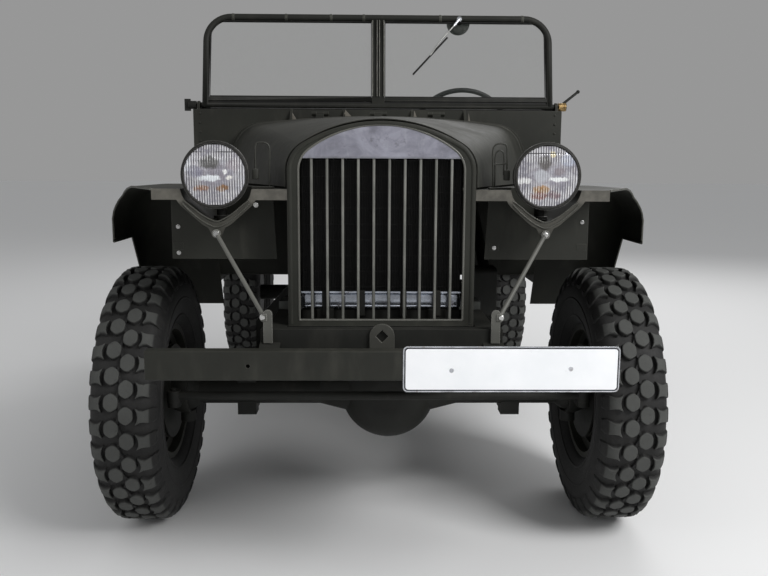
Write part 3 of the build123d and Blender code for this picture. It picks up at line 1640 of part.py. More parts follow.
wheel_plane = Plane(origin=wheel_centre, x_dir=(1, 0, 0), z_dir=(0, cos(tilt), sin(tilt)))
spoke_radius = 6
with BuildPart() as steering_wheel:
    ring = steering_wheel_radius - rim_tube_radius
    ring_start = wheel_plane.from_local_coords((ring, 0, 0))
    with BuildSketch(Plane(origin=ring_start, x_dir=(1, 0, 0), z_dir=wheel_plane.y_dir)):
        Circle(rim_tube_radius)
    revolve(axis=Axis(wheel_centre, wheel_plane.z_dir))
    for turn in (90, 210, 330):
        tip = (ring * cos(radians(turn)), ring * sin(radians(turn)), 0)
        root = wheel_plane.from_local_coords((0, 0, -18))
        add(round_bar(tuple(root), tuple(wheel_plane.from_local_coords(tip)), spoke_radius))
    add(round_bar(on_column(48), on_column(-12), 34))
    add(round_bar(on_column(0), on_column(shaft_end - 45), shaft_radius))
finish(steering_wheel, "steering_wheel")


# Pedals on the toe board, gear levers on the hump and the hand brake on the floor
pedals = [(270, 62), (352, 62), (440, 40)]
board_run = toe_rear - side_front
board_rise = toe_top - toe_foot
board_length = hypot(board_run, board_rise)
board_normal = (board_rise / board_length, board_run / board_length)
pedal_y = side_front + board_run / 2
pedal_z = toe_top - board_rise / 2
levers = [(0, 840, 250, 60), (-48, 900, 170, 20), (48, 900, 170, 20)]

with BuildPart() as pedals_and_levers:
    for x, width in pedals:
        foot = (x, at(pedal_y + seat_gap * board_normal[0]), pedal_z + seat_gap * board_normal[1])
        pad = (x, at(pedal_y + 85 * board_normal[0]), pedal_z + 85 * board_normal[1])
        add(round_bar(foot, pad, 7))
        with BuildSketch(Plane(origin=pad, x_dir=(1, 0, 0), z_dir=(0, board_normal[0], board_normal[1]))):
            RectangleRounded(width, 70, 8)
        extrude(amount=8)
    for x, y, rise, lean in levers:
        foot = (x, at(y), hump_top + seat_gap + 6)
        tip = (x, at(y + lean), hump_top + rise)
        add(round_bar(foot, tip, 7))
        with Locations((x, at(y), hump_top + seat_gap + 6)):
            Cone(bottom_radius=26, top_radius=12, height=12)
        with Locations(tip):
            Sphere(17)
    brake_foot = (190, at(980), floor_z + 12)
    brake_tip = (190, at(940), floor_z + 330)
    add(round_bar(brake_foot, brake_tip, 9))
    with Locations((190, at(980), floor_z + seat_gap + 9)):
        Box(40, 90, 18)
finish(pedals_and_levers, "pedals_and_levers")


# Seats: tube frames and pans in front, a box bench behind, and their cushions
seat_front = 1085
seat_rear = 1525
pan_z = 895
leg_radius = 11
seat_half = 225
cushion_sheet = 110
back_lean = 12
back_height = 400
back_pad = 80
back_pad_rise = 133
lean = radians(back_lean)

with BuildPart() as seat_frames:
    for side in (1, -1):
        x = side * front_seat_x
        with Locations((x, at((seat_front + seat_rear) / 2), pan_z)):
            Box(2 * seat_half, seat_rear - seat_front, 6)
        for leg_x in (x - seat_half + 25, x + seat_half - 25):
            for leg_y in (seat_front + 30, seat_rear - 30):
                foot = (leg_x, at(leg_y), floor_z + seat_gap)
                add(round_bar(foot, (leg_x, at(leg_y), pan_z), leg_radius))
            back_foot = (leg_x, at(seat_rear - 15), pan_z)
            back_top = (leg_x, at(seat_rear - 15 + back_height * tan(lean)), pan_z + back_height)
            add(round_bar(back_foot, back_top, leg_radius))
        top_y = at(seat_rear - 15 + back_height * tan(lean))
        top_start = (x - seat_half + 25, top_y, pan_z + back_height)
        add(round_bar(top_start, (x + seat_half - 25, top_y, pan_z + back_height), leg_radius))
        for corner_x in (x - seat_half + 25, x + seat_half - 25):
            with Locations((corner_x, top_y, pan_z + back_height)):
                Sphere(leg_radius)
finish(seat_frames, "seat_frames")

bench_length = 495
bench_front = body_rear - bench_length
bench_rear = side_rear - 30
bench_side_gap = 30
bench_half = wheel_box_x - bench_side_gap
bench_foot = 880
with BuildPart() as rear_bench:
    with Locations((0, at((bench_front + bench_rear) / 2), (floor_z + seat_gap + bench_foot) / 2)):
        Box(2 * bench_half, bench_rear - bench_front, bench_foot - floor_z - seat_gap)
    with Locations((0, at((bench_front + bench_rear) / 2), (floor_z + bench_foot) / 2 - 4)):
        Box(2 * bench_half - 6, bench_rear - bench_front - 6, bench_foot - floor_z, mode=Mode.SUBTRACT)
    with Locations((0, at((bench_front + bench_rear) / 2), bench_foot - 2)):
        Box(2 * bench_half, bench_rear - bench_front, 4)
finish(rear_bench, "rear_bench")


def pad(x, y, z, size, turn):
    """One cushion: a soft-edged block standing on a point, leaning back by the turn."""
    with BuildPart() as block:
        with Locations(Location((x, y, z), (-turn, 0, 0))):
            Box(*size, align=(Align.CENTER, Align.CENTER, Align.MIN))
        fillet(block.edges(), 22)
    return block.part


bench_back_y = body_rear - body_sheet - 5 - seat_gap - back_pad / 2
with BuildPart() as seat_cushions:
    for side in (1, -1):
        middle = at(seat_front + 205)
        add(pad(side * front_seat_x, middle, pan_z + 3 + seat_gap, (2 * seat_half, 400, cushion_sheet), 0))
        back_shift = (leg_radius + seat_gap + back_pad / 2) / cos(lean)
        back_pad_y = at(seat_rear - 15 + back_pad_rise * tan(lean) - back_shift)
        back_size = (2 * seat_half - 10, back_pad, 330)
        add(pad(side * front_seat_x, back_pad_y, pan_z + back_pad_rise, back_size, back_lean))
        x = side * bench_half / 2
        add(pad(x, at(bench_front + 210), bench_foot + seat_gap, (bench_half - 8, 400, cushion_sheet), 0))
        add(pad(x, at(bench_back_y), bench_foot + cushion_sheet + 8, (bench_half - 8, back_pad, 260), 0))
finish(seat_cushions, "seat_cushions")


# Spare wheel's carrier, towing eye and tail lamp at the rear
carrier_start = body_rear + seat_gap
carrier_end = spare_y - front_axle_y + disc_face - seat_gap
with BuildPart() as spare_carrier:
    with Locations(Location((0, at(carrier_start + 4), spare_z), (90, 0, 0))):
        Cylinder(115, 8)
    with Locations(Location((0, at((carrier_start + carrier_end) / 2), spare_z), (90, 0, 0))):
        Cylinder(48, carrier_end - carrier_start)
    with Locations(Location((0, at(carrier_end - 5), spare_z), (90, 0, 0))):
        Cylinder(78, 10)
finish(spare_carrier, "spare_carrier")

hitch_y = 2480
hitch_root_y = 2396
hitch_z = 530
hitch_sheet = 24
hitch_rib = 8
hitch_half = hitch_eye_radius + 16
hitch_top = 600 - seat_gap
with BuildPart() as tow_hitch:
    with BuildSketch(Plane.XY.offset(hitch_z - hitch_sheet / 2)):
        add(link(Plane.XY, (0, at(hitch_root_y)), (0, at(hitch_y)), hitch_half))
        with Locations((0, at(hitch_y))):
            Circle(hitch_eye_radius, mode=Mode.SUBTRACT)
    extrude(amount=hitch_sheet)
    with Locations((0, at(hitch_root_y), (hitch_z + hitch_top) / 2)):
        Box(2 * hitch_half, 54, hitch_top - hitch_z)
    for x in (-hitch_half, hitch_half - hitch_rib):
        with BuildSketch(Plane.YZ.offset(x)):
            with BuildLine():
                Polyline(
                    (at(hitch_root_y), hitch_z),
                    (at(hitch_y - 8), hitch_z),
                    (at(hitch_y - 8), hitch_z + hitch_sheet / 2 + 4),
                    (at(hitch_root_y + 27), hitch_top),
                    (at(hitch_root_y), hitch_top),
                    close=True,
                )
            make_face()
        extrude(amount=hitch_rib)
finish(tow_hitch, "tow_hitch")

with BuildPart() as tail_lamp:
    with Locations(Location((560, at(body_rear + seat_gap + 14), 1040), (90, 0, 0))):
        Cylinder(32, 28)
    fillet(tail_lamp.edges().filter_by(GeomType.CIRCLE).group_by(Axis.Y)[-1], 8)
finish(tail_lamp, "tail_lamp")
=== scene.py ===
# Looks of an open 1940s field car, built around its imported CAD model.
# Blender units are metres; X is the car's left, Y its rear and Z up, with the ground at Z = 0.
from math import atan2, cos, exp, hypot, pi, radians, sin, sqrt

import bmesh
import bpy
from mathutils import Matrix, Vector
from mathutils.bvhtree import BVHTree


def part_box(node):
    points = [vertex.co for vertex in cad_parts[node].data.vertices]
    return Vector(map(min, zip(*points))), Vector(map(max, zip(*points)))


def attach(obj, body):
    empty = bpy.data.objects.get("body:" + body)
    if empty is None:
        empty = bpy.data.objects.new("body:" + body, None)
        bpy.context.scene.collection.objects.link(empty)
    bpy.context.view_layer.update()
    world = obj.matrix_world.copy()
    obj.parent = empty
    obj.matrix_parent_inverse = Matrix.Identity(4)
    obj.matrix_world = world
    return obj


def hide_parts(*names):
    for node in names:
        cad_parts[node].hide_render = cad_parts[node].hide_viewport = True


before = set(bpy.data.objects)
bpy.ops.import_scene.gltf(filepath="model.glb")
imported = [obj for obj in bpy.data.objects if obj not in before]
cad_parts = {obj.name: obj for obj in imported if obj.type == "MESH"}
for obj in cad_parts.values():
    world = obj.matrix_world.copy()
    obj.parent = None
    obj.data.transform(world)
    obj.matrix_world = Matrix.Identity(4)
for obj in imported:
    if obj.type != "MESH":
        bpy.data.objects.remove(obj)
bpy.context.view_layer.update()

# Places and sizes that the CAD model also has
front_axle_y = -0.995
rear_axle_y = 1.105
axle_z = 0.402
wheel_x = 0.723
tyre_radius = 0.402
spare_place = (0.0, 1.577, 0.960)
lamp_x = 0.432
lens_radius = 0.0815


def linked(name, data):
    """A new object in the scene."""
    made = bpy.data.objects.new(name, data)
    bpy.context.scene.collection.objects.link(made)
    return made


# Camera at the photograph's place
photo_width = 768
sensor_width = 36.0
focal_pixels = 806.236
camera_pitch = 8.47
camera_yaw = -1.055
camera_roll = 0.286

camera_data = bpy.data.cameras.new("photo_camera")
camera_data.sensor_width = sensor_width
camera_data.lens = focal_pixels * sensor_width / photo_width
camera = linked("photo_camera", camera_data)
camera.location = (-0.0317, front_axle_y - 2.5507, 1.1178)
aim = (
    Matrix.Rotation(radians(camera_yaw), 4, "Z")
    @ Matrix.Rotation(radians(90 - camera_pitch), 4, "X")
    @ Matrix.Rotation(radians(camera_roll), 4, "Z")
)
camera.rotation_euler = aim.to_euler()
bpy.context.scene.camera = camera


# Shader sockets as values: arithmetic on a Wire adds the Math nodes for it
class Wire:
    def __init__(self, finish, socket):
        self.finish = finish
        self.socket = socket

    def math(self, operation, other=None):
        inputs = {0: self}
        if other is not None:
            inputs[1] = other
        return self.finish.node("ShaderNodeMath", {"operation": operation}, inputs)

    def __add__(self, other):
        return self.math("ADD", other)

    __radd__ = __add__

    def __mul__(self, other):
        return self.math("MULTIPLY", other)

    __rmul__ = __mul__

    def __sub__(self, other):
        return self.math("SUBTRACT", other)

    def __rsub__(self, other):
        return (self * -1.0) + other

    def __pow__(self, other):
        return self.math("POWER", other)

    def between(self, low, high):
        """0 below low, 1 above high and smooth between."""
        settings = {"interpolation_type": "SMOOTHSTEP"}
        inputs = {"Value": self, "From Min": low, "From Max": high}
        return self.finish.node("ShaderNodeMapRange", settings, inputs)

    def part(self, name):
        """One of the vector's three numbers."""
        return self.finish.node("ShaderNodeSeparateXYZ", {}, {0: self}, name)


class Finish:
    """One material, with a method that adds any node and gives back its output as a Wire."""

    def __init__(self, name, material=None):
        self.material = material or bpy.data.materials.new(name)
        self.material.use_nodes = True
        self.tree = self.material.node_tree
        self.shader = self.tree.nodes["Principled BSDF"]
        self.place = self.node("ShaderNodeTexCoord", {}, {}, "Object")

    def node(self, kind, settings, inputs, output=0):
        made = self.tree.nodes.new(kind)
        for key, value in settings.items():
            setattr(made, key, value)
        for key, value in inputs.items():
            if isinstance(value, Wire):
                self.tree.links.new(value.socket, made.inputs[key])
            else:
                made.inputs[key].default_value = value
        return Wire(self, made.outputs[output])

    def scaled(self, scale):
        """Object coordinates stretched by a scale on each axis."""
        return self.node("ShaderNodeMapping", {}, {"Vector": self.place, "Scale": scale})

    def noise(self, scale, detail=4.0, roughness=0.55, stretch=(1.0, 1.0, 1.0), distortion=0.0):
        inputs = {"Vector": self.scaled(stretch), "Scale": scale, "Detail": detail}
        inputs.update({"Roughness": roughness, "Distortion": distortion})
        return self.node("ShaderNodeTexNoise", {"noise_dimensions": "3D"}, inputs)

    def cells(self, scale):
        settings = {"voronoi_dimensions": "3D", "feature": "F1"}
        inputs = {"Vector": self.scaled((1.0, 1.0, 1.0)), "Scale": scale}
        return self.node("ShaderNodeTexVoronoi", settings, inputs, "Distance")

    def mix(self, factor, low, high):
        """A colour between two, each a tuple or a Wire."""
        inputs = {0: factor, 6: self.colour(low), 7: self.colour(high)}
        return self.node("ShaderNodeMix", {"data_type": "RGBA"}, inputs, 2)

    def colour(self, value):
        if isinstance(value, Wire):
            return value
        return (*value, 1.0)

    def edges(self, radius):
        """Close to 1 on a surface and lower on its outer and inner edges."""
        rounded = self.node("ShaderNodeBevel", {"samples": 6}, {"Radius": radius})
        flat = self.node("ShaderNodeNewGeometry", {}, {}, "Normal")
        return self.node("ShaderNodeVectorMath", {"operation": "DOT_PRODUCT"}, {0: rounded, 1: flat}, "Value")

    def facing_up(self):
        """How much a surface looks upwards, from -1 to 1."""
        return self.node("ShaderNodeNewGeometry", {}, {}, "Normal").part("Z")

    def bump(self, height, strength, distance, normal=None):
        inputs = {"Height": height, "Strength": strength, "Distance": distance}
        if normal is not None:
            inputs["Normal"] = normal
        return self.node("ShaderNodeBump", {}, inputs)

    def soft_edges(self, radius):
        """A normal that rounds every sharp edge by this radius."""
        return self.node("ShaderNodeBevel", {"samples": 4}, {"Radius": radius})

    def set(self, **values):
        for key, value in values.items():
            name = key.replace("_", " ").title().replace("Ior", "IOR")
            if isinstance(value, Wire):
                self.tree.links.new(value.socket, self.shader.inputs[name])
            elif isinstance(value, tuple) and len(value) == 3:
                self.shader.inputs[name].default_value = (*value, 1.0)
            else:
                self.shader.inputs[name].default_value = value
        return self.material


# Finishes
def flat_paint(name, colour, dust, bare, wear=0.5, gloss=0.5):
    """Old brushed-on army paint: blotches, dust on what faces up, rubbed edges and fine grit."""
    finish = Finish(name)
    blotch = finish.noise(3.2, 5.0, 0.6)
    grain = finish.noise(55.0, 3.0, 0.6)
    streak = finish.noise(14.0, 4.0, 0.6, (1.0, 1.0, 0.25))
    low = tuple(0.78 * c for c in colour)
    high = tuple(1.22 * c for c in colour)
    tone = finish.mix(blotch.between(0.3, 0.7), low, high)
    tone = finish.mix(streak.between(0.52, 0.75) * 0.3, tone, dust)
    settled = finish.facing_up().between(0.2, 1.0) * finish.noise(7.0, 4.0, 0.65).between(0.25, 0.75)
    tone = finish.mix(settled * 0.30, tone, dust)
    rim = 1.0 - finish.edges(0.0025)
    rubbed = (rim * 5.0 + finish.noise(38.0, 5.0, 0.7) - 0.55).between(0.35, 0.6) * wear
    chips = finish.cells(60.0).between(0.09, 0.05) * finish.noise(5.0).between(0.58, 0.66) * wear
    worn = rubbed.math("MAXIMUM", chips)
    tone = finish.mix(worn, tone, bare)
    rough = 0.62 - gloss * 0.22 + grain * 0.16 + settled * 0.16 - worn * 0.12
    height = grain * 0.35 + finish.noise(180.0, 2.0, 0.5) * 0.25 - worn * 0.3
    normal = finish.bump(height, 0.22, 0.0012, finish.soft_edges(0.0012))
    return finish.set(
        base_color=tone, roughness=rough, metallic=worn * 0.55, specular_ior_level=0.30, normal=normal
    )


def strip_paint(name, colour, dust, bare, strip_y):
    """The body's paint with a lighter strip along the fenders' front edges, kept close to the body's colour
    low in the lamp troughs' valleys.
    """
    material = flat_paint(name, colour, dust, bare)
    finish = Finish(name, material)
    on_strip = finish.place.part("Y").between(strip_y + 0.0002, strip_y - 0.0002)
    cloud = finish.noise(24.0, 5.0, 0.65)
    light = finish.mix(cloud.between(0.3, 0.7), (0.078, 0.074, 0.064), (0.140, 0.132, 0.113))
    valley = finish.place.part("Z").between(1.033, 1.022)
    light = finish.mix(valley * 0.62, light, colour)
    old = Wire(finish, finish.shader.inputs["Base Color"].links[0].from_socket)
    return finish.set(base_color=finish.mix(on_strip * 0.9, old, light))


def tyre_rubber(name):
    """Aged rubber: black in the gaps, and scuffed grey with nicks on the lugs' tops."""
    finish = Finish(name)
    cloud = finish.noise(14.0, 5.0, 0.62)
    grit = finish.noise(170.0, 3.0, 0.6)
    top = finish.node("ShaderNodeAttribute", {"attribute_name": "top"}, {}, "Fac")
    tone = finish.mix(cloud.between(0.3, 0.72), (0.0055, 0.0055, 0.0052), (0.014, 0.0135, 0.013))
    scuffed = top.between(0.55, 0.98) * (0.62 + cloud * 0.55)
    tone = finish.mix(scuffed, tone, (0.058, 0.060, 0.056))
    nicks = finish.noise(90.0, 4.0, 0.65).between(0.60, 0.70) * top
    tone = finish.mix(nicks * 0.6, tone, (0.030, 0.029, 0.027))
    rough = 0.62 + grit * 0.22 + top * 0.06
    normal = finish.bump(grit + cloud * 0.5, 0.3, 0.001, finish.soft_edges(0.0012))
    return finish.set(base_color=tone, roughness=rough, normal=normal)


def canvas_cloth(name, colour, worn):
    """Coarse waxed canvas: crossing threads, faded where it bulges, stained in patches."""
    finish = Finish(name)
    cloud = finish.noise(7.0, 5.0, 0.62)
    stain = finish.noise(11.0, 5.0, 0.7).between(0.58, 0.74)
    threads = [(finish.place.part(axis) * (2 * pi / 0.0028)).math("SINE") for axis in "XYZ"]
    weave = threads[0] * threads[1] + threads[0] * threads[2] + threads[1] * threads[2]
    dark = tuple(0.62 * c for c in colour)
    tone = finish.mix(cloud.between(0.3, 0.7), dark, colour)
    bulge = finish.node("ShaderNodeNewGeometry", {}, {}, "Pointiness").between(0.50, 0.56)
    tone = finish.mix(bulge * 0.5, tone, worn)
    tone = finish.mix(stain * 0.45, tone, tuple(0.35 * c for c in colour))
    tone = finish.mix(weave.between(0.2, 1.6) * 0.25, tone, worn)
    normal = finish.bump(weave, 0.35, 0.0006, finish.bump(cloud, 0.2, 0.004))
    return finish.set(base_color=tone, roughness=0.80 - stain * 0.15, sheen_weight=0.15, normal=normal)


def worn_steel(name, colour, rough=0.4, metal=0.8):
    """Bare or lightly rusted steel for pins, bars and tanks."""
    finish = Finish(name)
    cloud = finish.noise(22.0, 5.0, 0.65)
    rust = finish.noise(48.0, 5.0, 0.7).between(0.56, 0.72)
    dark = tuple(0.6 * c for c in colour)
    tone = finish.mix(cloud.between(0.3, 0.7), dark, colour)
    tone = finish.mix(rust * 0.5, tone, (0.16, 0.085, 0.045))
    normal = finish.bump(cloud + rust, 0.2, 0.001, finish.soft_edges(0.001))
    roughness = rough + rust * 0.25
    metallic = metal - rust * 0.5
    return finish.set(base_color=tone, roughness=roughness, metallic=metallic, normal=normal)


def plate_enamel(name):
    """Glossy white enamel, slightly uneven, with a grey film in patches."""
    finish = Finish(name)
    cloud = finish.noise(6.0, 4.0, 0.6)
    tone = finish.mix(cloud.between(0.3, 0.7), (0.90, 0.92, 0.94), (0.97, 0.98, 1.0))
    grime = finish.noise(40.0, 5.0, 0.7).between(0.62, 0.8)
    tone = finish.mix(grime * 0.25, tone, (0.42, 0.41, 0.39))
    normal = finish.bump(cloud, 0.05, 0.001, finish.soft_edges(0.0008))
    return finish.set(base_color=tone, roughness=0.3 + grime * 0.3, coat_weight=0.3, normal=normal)


def clear_glass(name):
    """Old window glass with a faint green tint and a dusty film."""
    finish = Finish(name)
    film = finish.noise(5.0, 5.0, 0.6).between(0.35, 0.85)
    tone = finish.mix(film, (0.18, 0.21, 0.195), (0.28, 0.29, 0.27))
    alpha = 0.045 + film * 0.04
    return finish.set(base_color=tone, roughness=0.05, alpha=alpha, specular_ior_level=0.6)


def fluted_glass(name, centre_x, centre_z, radius, flutes, highlights):
    """Lamp glass coloured with painted light: the mirror's reflection and highlights, dark patches, dark and
    white flute stripes, and painted shade at its rim and along the flutes' top line.
    """
    finish = Finish(name)
    u = (finish.place.part("X") - centre_x) * (1 / radius)
    v = (finish.place.part("Z") - centre_z) * (1 / radius)
    cloud = finish.noise(26.0, 4.0, 0.6)
    fine = finish.noise(85.0, 3.0, 0.65)
    ragged_u = u + (cloud - 0.5) * 0.35
    ragged_v = v + (fine - 0.5) * 0.22
    # Painted reflection of the mirror behind the glass: lilac-grey in patches, darker in fine spots
    tone = finish.mix(cloud.between(0.36, 0.64), (0.34, 0.33, 0.38), (0.66, 0.66, 0.70))
    tone = finish.mix(fine.between(0.42, 0.62) * 0.5, tone, (0.30, 0.27, 0.30))
    # Painted highlights, reflections and dark patches, one for each row of the table
    for middle_u, middle_v, half_u, half_v, colour, strength in highlights:
        away = ((ragged_u - middle_u) * (1 / half_u)) ** 2 + ((ragged_v - middle_v) * (1 / half_v)) ** 2
        tone = finish.mix(away.between(1.25, 0.35) * strength, tone, colour)
    # Painted flute stripes: dark troughs, and white glints on the crests away from the plain middle
    waves = (u * (pi * flutes)).math("COSINE") * 0.5 + 0.5
    from_smooth = (u * 1.15) ** 2 + ((v - 0.05) * 1.9) ** 2
    outer = from_smooth.between(0.15, 0.95) * (cloud.between(0.25, 0.55) * 0.45 + 0.55)
    tone = finish.mix(waves.between(0.50, 0.95) * (outer * 0.72 + 0.12), tone, (0.030, 0.030, 0.034))
    flute_glints = waves.between(0.45, 0.05) * outer * fine.between(0.35, 0.6) * 0.75
    tone = finish.mix(flute_glints, tone, (1.0, 1.0, 1.0))
    # Painted shade round the glass's rim, and a painted dark line where the flutes stop
    ring = u * u + v * v
    tone = finish.mix(ring.between(0.90, 1.0) * 0.75, tone, (0.02, 0.02, 0.02))
    line = (v - 0.72).math("ABSOLUTE").between(0.028, 0.012) * cloud.between(0.40, 0.50)
    tone = finish.mix(line * 0.85, tone, (0.05, 0.05, 0.055))
    return finish.set(base_color=tone, roughness=0.10, metallic=0.15, alpha=0.92, specular_ior_level=0.7)


def mirror_silver(name):
    """The lamp's silvered bowl, a little hazy and darker in patches."""
    finish = Finish(name)
    cloud = finish.noise(26.0, 5.0, 0.65, (1.0, 1.0, 1.0), 0.8)
    tone = finish.mix(cloud.between(0.35, 0.65), (0.24, 0.20, 0.20), (0.88, 0.86, 0.88))
    copper = finish.noise(17.0, 4.0, 0.6).between(0.56, 0.66)
    tone = finish.mix(copper * 0.6, tone, (0.62, 0.36, 0.22))
    return finish.set(base_color=tone, roughness=0.12 + cloud * 0.16, metallic=1.0)


def brass_metal(name):
    """Dull brass, browner where it is not touched."""
    finish = Finish(name)
    cloud = finish.noise(60.0, 5.0, 0.65)
    tone = finish.mix(cloud.between(0.35, 0.68), (0.20, 0.13, 0.055), (0.62, 0.44, 0.20))
    normal = finish.bump(cloud, 0.15, 0.0008, finish.soft_edges(0.0006))
    return finish.set(base_color=tone, roughness=0.28 + cloud * 0.25, metallic=0.9, normal=normal)


def grille_sheet(name, join_height):
    """The bare arch plate above the bars; below it the bars' dark paint, lighter on the faces that look
    forward as a painted highlight, with rubbed edges that also carry painted highlight.
    """
    finish = Finish(name)
    above = finish.place.part("Z").between(join_height - 0.0006, join_height + 0.0006)
    cloud = finish.noise(9.0, 6.0, 0.66, (1.0, 1.0, 1.3), 0.7)
    fine = finish.noise(75.0, 4.0, 0.6, (1.0, 1.0, 0.3))
    plate = finish.mix(cloud.between(0.30, 0.70), (0.215, 0.215, 0.255), (0.40, 0.40, 0.47))
    plate = finish.mix(fine.between(0.5, 0.85) * 0.4, plate, (0.52, 0.52, 0.58))
    stain = finish.noise(24.0, 6.0, 0.72).between(0.58, 0.72)
    plate = finish.mix(stain * 0.55, plate, (0.10, 0.095, 0.10))
    low = finish.place.part("Z").between(1.150, 1.143) * finish.noise(30.0).between(0.3, 0.6)
    plate = finish.mix(low * 0.5, plate, (0.12, 0.12, 0.11))
    bar_cloud = finish.noise(30.0, 4.0, 0.6, (1.0, 1.0, 0.3))
    # Painted highlight: the bars' faces that look forward are lighter than their dark sides
    front = finish.node("ShaderNodeNewGeometry", {}, {}, "Normal").part("Y").between(-0.55, -0.95)
    bar = finish.mix(bar_cloud.between(0.3, 0.7), (0.015, 0.016, 0.013), (0.034, 0.034, 0.029))
    front_highlight = finish.mix(bar_cloud.between(0.35, 0.7), (0.105, 0.107, 0.095), (0.190, 0.190, 0.172))
    bar = finish.mix(front, bar, front_highlight)
    # Lighter edges on the bars: rubbed paint and metal, partly painted highlight
    rim = (1.0 - finish.edges(0.002)).between(0.02, 0.12)
    bar = finish.mix(rim * 0.30, bar, (0.30, 0.30, 0.27))
    tone = finish.mix(above, bar, plate)
    rough = 0.40 + cloud * 0.16 + stain * 0.14
    normal = finish.bump(fine + cloud * 0.7, 0.14, 0.001, finish.soft_edges(0.0008))
    return finish.set(base_color=tone, roughness=rough, metallic=above * 0.62 + rim * 0.2, normal=normal)


olive = (0.0205, 0.0212, 0.0165)
dust = (0.072, 0.070, 0.058)
bare = (0.150, 0.147, 0.130)
body_paint = flat_paint("body_paint", olive, dust, bare)
fender_paint = strip_paint("fender_paint", olive, dust, bare, front_axle_y - 0.4262)
chassis_paint = flat_paint(
    "chassis_paint", (0.0110, 0.0115, 0.0095), (0.042, 0.040, 0.033), (0.085, 0.082, 0.072), 0.35, 0.3
)
bezel_paint = flat_paint(
    "bezel_paint", (0.0120, 0.0120, 0.0105), (0.042, 0.040, 0.034), (0.28, 0.27, 0.25), 0.6, 0.8
)
wheel_black = flat_paint(
    "wheel_black", (0.0085, 0.0085, 0.0080), (0.040, 0.038, 0.033), (0.05, 0.048, 0.042), 0.4, 1.1
)
grille_metal = grille_sheet("grille_metal", 1.142)
rubber = tyre_rubber("rubber")
tank_metal = worn_steel("tank_metal", (0.62, 0.66, 0.74), 0.20, 0.95)
core_metal = flat_paint(
    "core_metal", (0.0060, 0.0060, 0.0058), (0.018, 0.018, 0.016), (0.04, 0.04, 0.038), 0.3, 0.3
)
exhaust_metal = worn_steel("exhaust_metal", (0.12, 0.085, 0.065), 0.7, 0.4)
engine_metal = worn_steel("engine_metal", (0.085, 0.09, 0.082), 0.6, 0.35)
enamel = plate_enamel("enamel")
window_glass = clear_glass("window_glass")
silvering = mirror_silver("silvering")
brass = brass_metal("brass")
bolt_steel = worn_steel("bolt_steel", (0.50, 0.50, 0.48), 0.30, 0.85)
bright_steel = worn_steel("bright_steel", (0.80, 0.80, 0.78), 0.22, 0.9)
silver = worn_steel("silver", (0.72, 0.74, 0.78), 0.22, 0.9)
edge_paint = flat_paint(
    "edge_paint", (0.046, 0.047, 0.039), (0.085, 0.082, 0.070), (0.24, 0.235, 0.21), 1.0, 0.8
)
# Light paint for the shell opening's bead, whose lightness is a painted highlight along that edge
edge_highlight_paint = flat_paint(
    "edge_highlight_paint", (0.095, 0.095, 0.083), (0.13, 0.128, 0.11), (0.34, 0.335, 0.31), 1.0, 1.0
)
wire_paint = flat_paint(
    "wire_paint", (0.030, 0.031, 0.026), (0.060, 0.058, 0.050), (0.12, 0.118, 0.105), 0.8, 0.8
)
dark_line = flat_paint("dark_line", (0.010, 0.011, 0.018), (0.03, 0.03, 0.03), (0.05, 0.05, 0.05), 0.2, 0.9)
# The windscreen frame's paint: a darker copy of the body's paint, its extra darkness painted shade
shaded_screen_paint = flat_paint(
    "shaded_screen_paint", (0.0125, 0.0130, 0.0105), (0.045, 0.043, 0.036), (0.12, 0.118, 0.105), 0.7, 0.3
)
brace_paint = flat_paint(
    "brace_paint", (0.105, 0.105, 0.094), (0.150, 0.147, 0.130), (0.36, 0.355, 0.33), 1.0, 1.2
)
guide_paint = flat_paint(
    "guide_paint", (0.048, 0.048, 0.041), (0.090, 0.087, 0.075), (0.20, 0.196, 0.175), 0.9, 0.6
)
gusset_paint = flat_paint(
    "gusset_paint", (0.150, 0.138, 0.115), (0.24, 0.22, 0.19), (0.32, 0.30, 0.27), 0.6, 0.4
)
rubber_seal = flat_paint(
    "rubber_seal", (0.0065, 0.0065, 0.0060), (0.030, 0.029, 0.025), (0.02, 0.02, 0.018), 0.2, 0.4
)
dial_face = flat_paint("dial_face", (0.012, 0.012, 0.011), (0.04, 0.04, 0.035), (0.4, 0.4, 0.38), 0.1, 0.9)
canvas = canvas_cloth("canvas", (0.088, 0.080, 0.050), (0.150, 0.138, 0.098))
piping = canvas_cloth("piping", (0.052, 0.047, 0.031), (0.100, 0.092, 0.068))
tail_red = flat_paint("tail_red", (0.30, 0.012, 0.008), (0.18, 0.05, 0.04), (0.45, 0.10, 0.07), 0.1, 1.1)


# Making and placing pieces
def shift_mesh(mesh, step):
    bmesh.ops.translate(mesh, verts=mesh.verts, vec=step)


def scale_mesh(mesh, factors):
    bmesh.ops.scale(mesh, verts=mesh.verts, vec=factors)


def turn_mesh(mesh, angle, axis):
    """Turns a mesh about the origin."""
    bmesh.ops.rotate(mesh, verts=mesh.verts, cent=(0, 0, 0), matrix=Matrix.Rotation(angle, 3, axis))


def round_off(mesh, geometry, radius, segments, affect="EDGES"):
    bmesh.ops.bevel(
        mesh, geom=geometry, offset=radius, segments=segments, affect=affect, profile=0.5, material=-1
    )


def raise_faces(mesh, faces, step=(0, 0, 0)):
    """Extrudes faces by a step and gives back the new vertices."""
    raised = bmesh.ops.extrude_face_region(mesh, geom=faces)
    verts = [v for v in raised["geom"] if isinstance(v, bmesh.types.BMVert)]
    bmesh.ops.translate(mesh, verts=verts, vec=step)
    return verts


def turned_piece(name, place, axis, profile, steps, finish, body):
    """A whole piece turned from (radius, height) pairs about an axis at a place."""
    made = bmesh.new()
    disc_ring(made, place, axis, profile, steps)
    add_piece(name, made, finish, body)


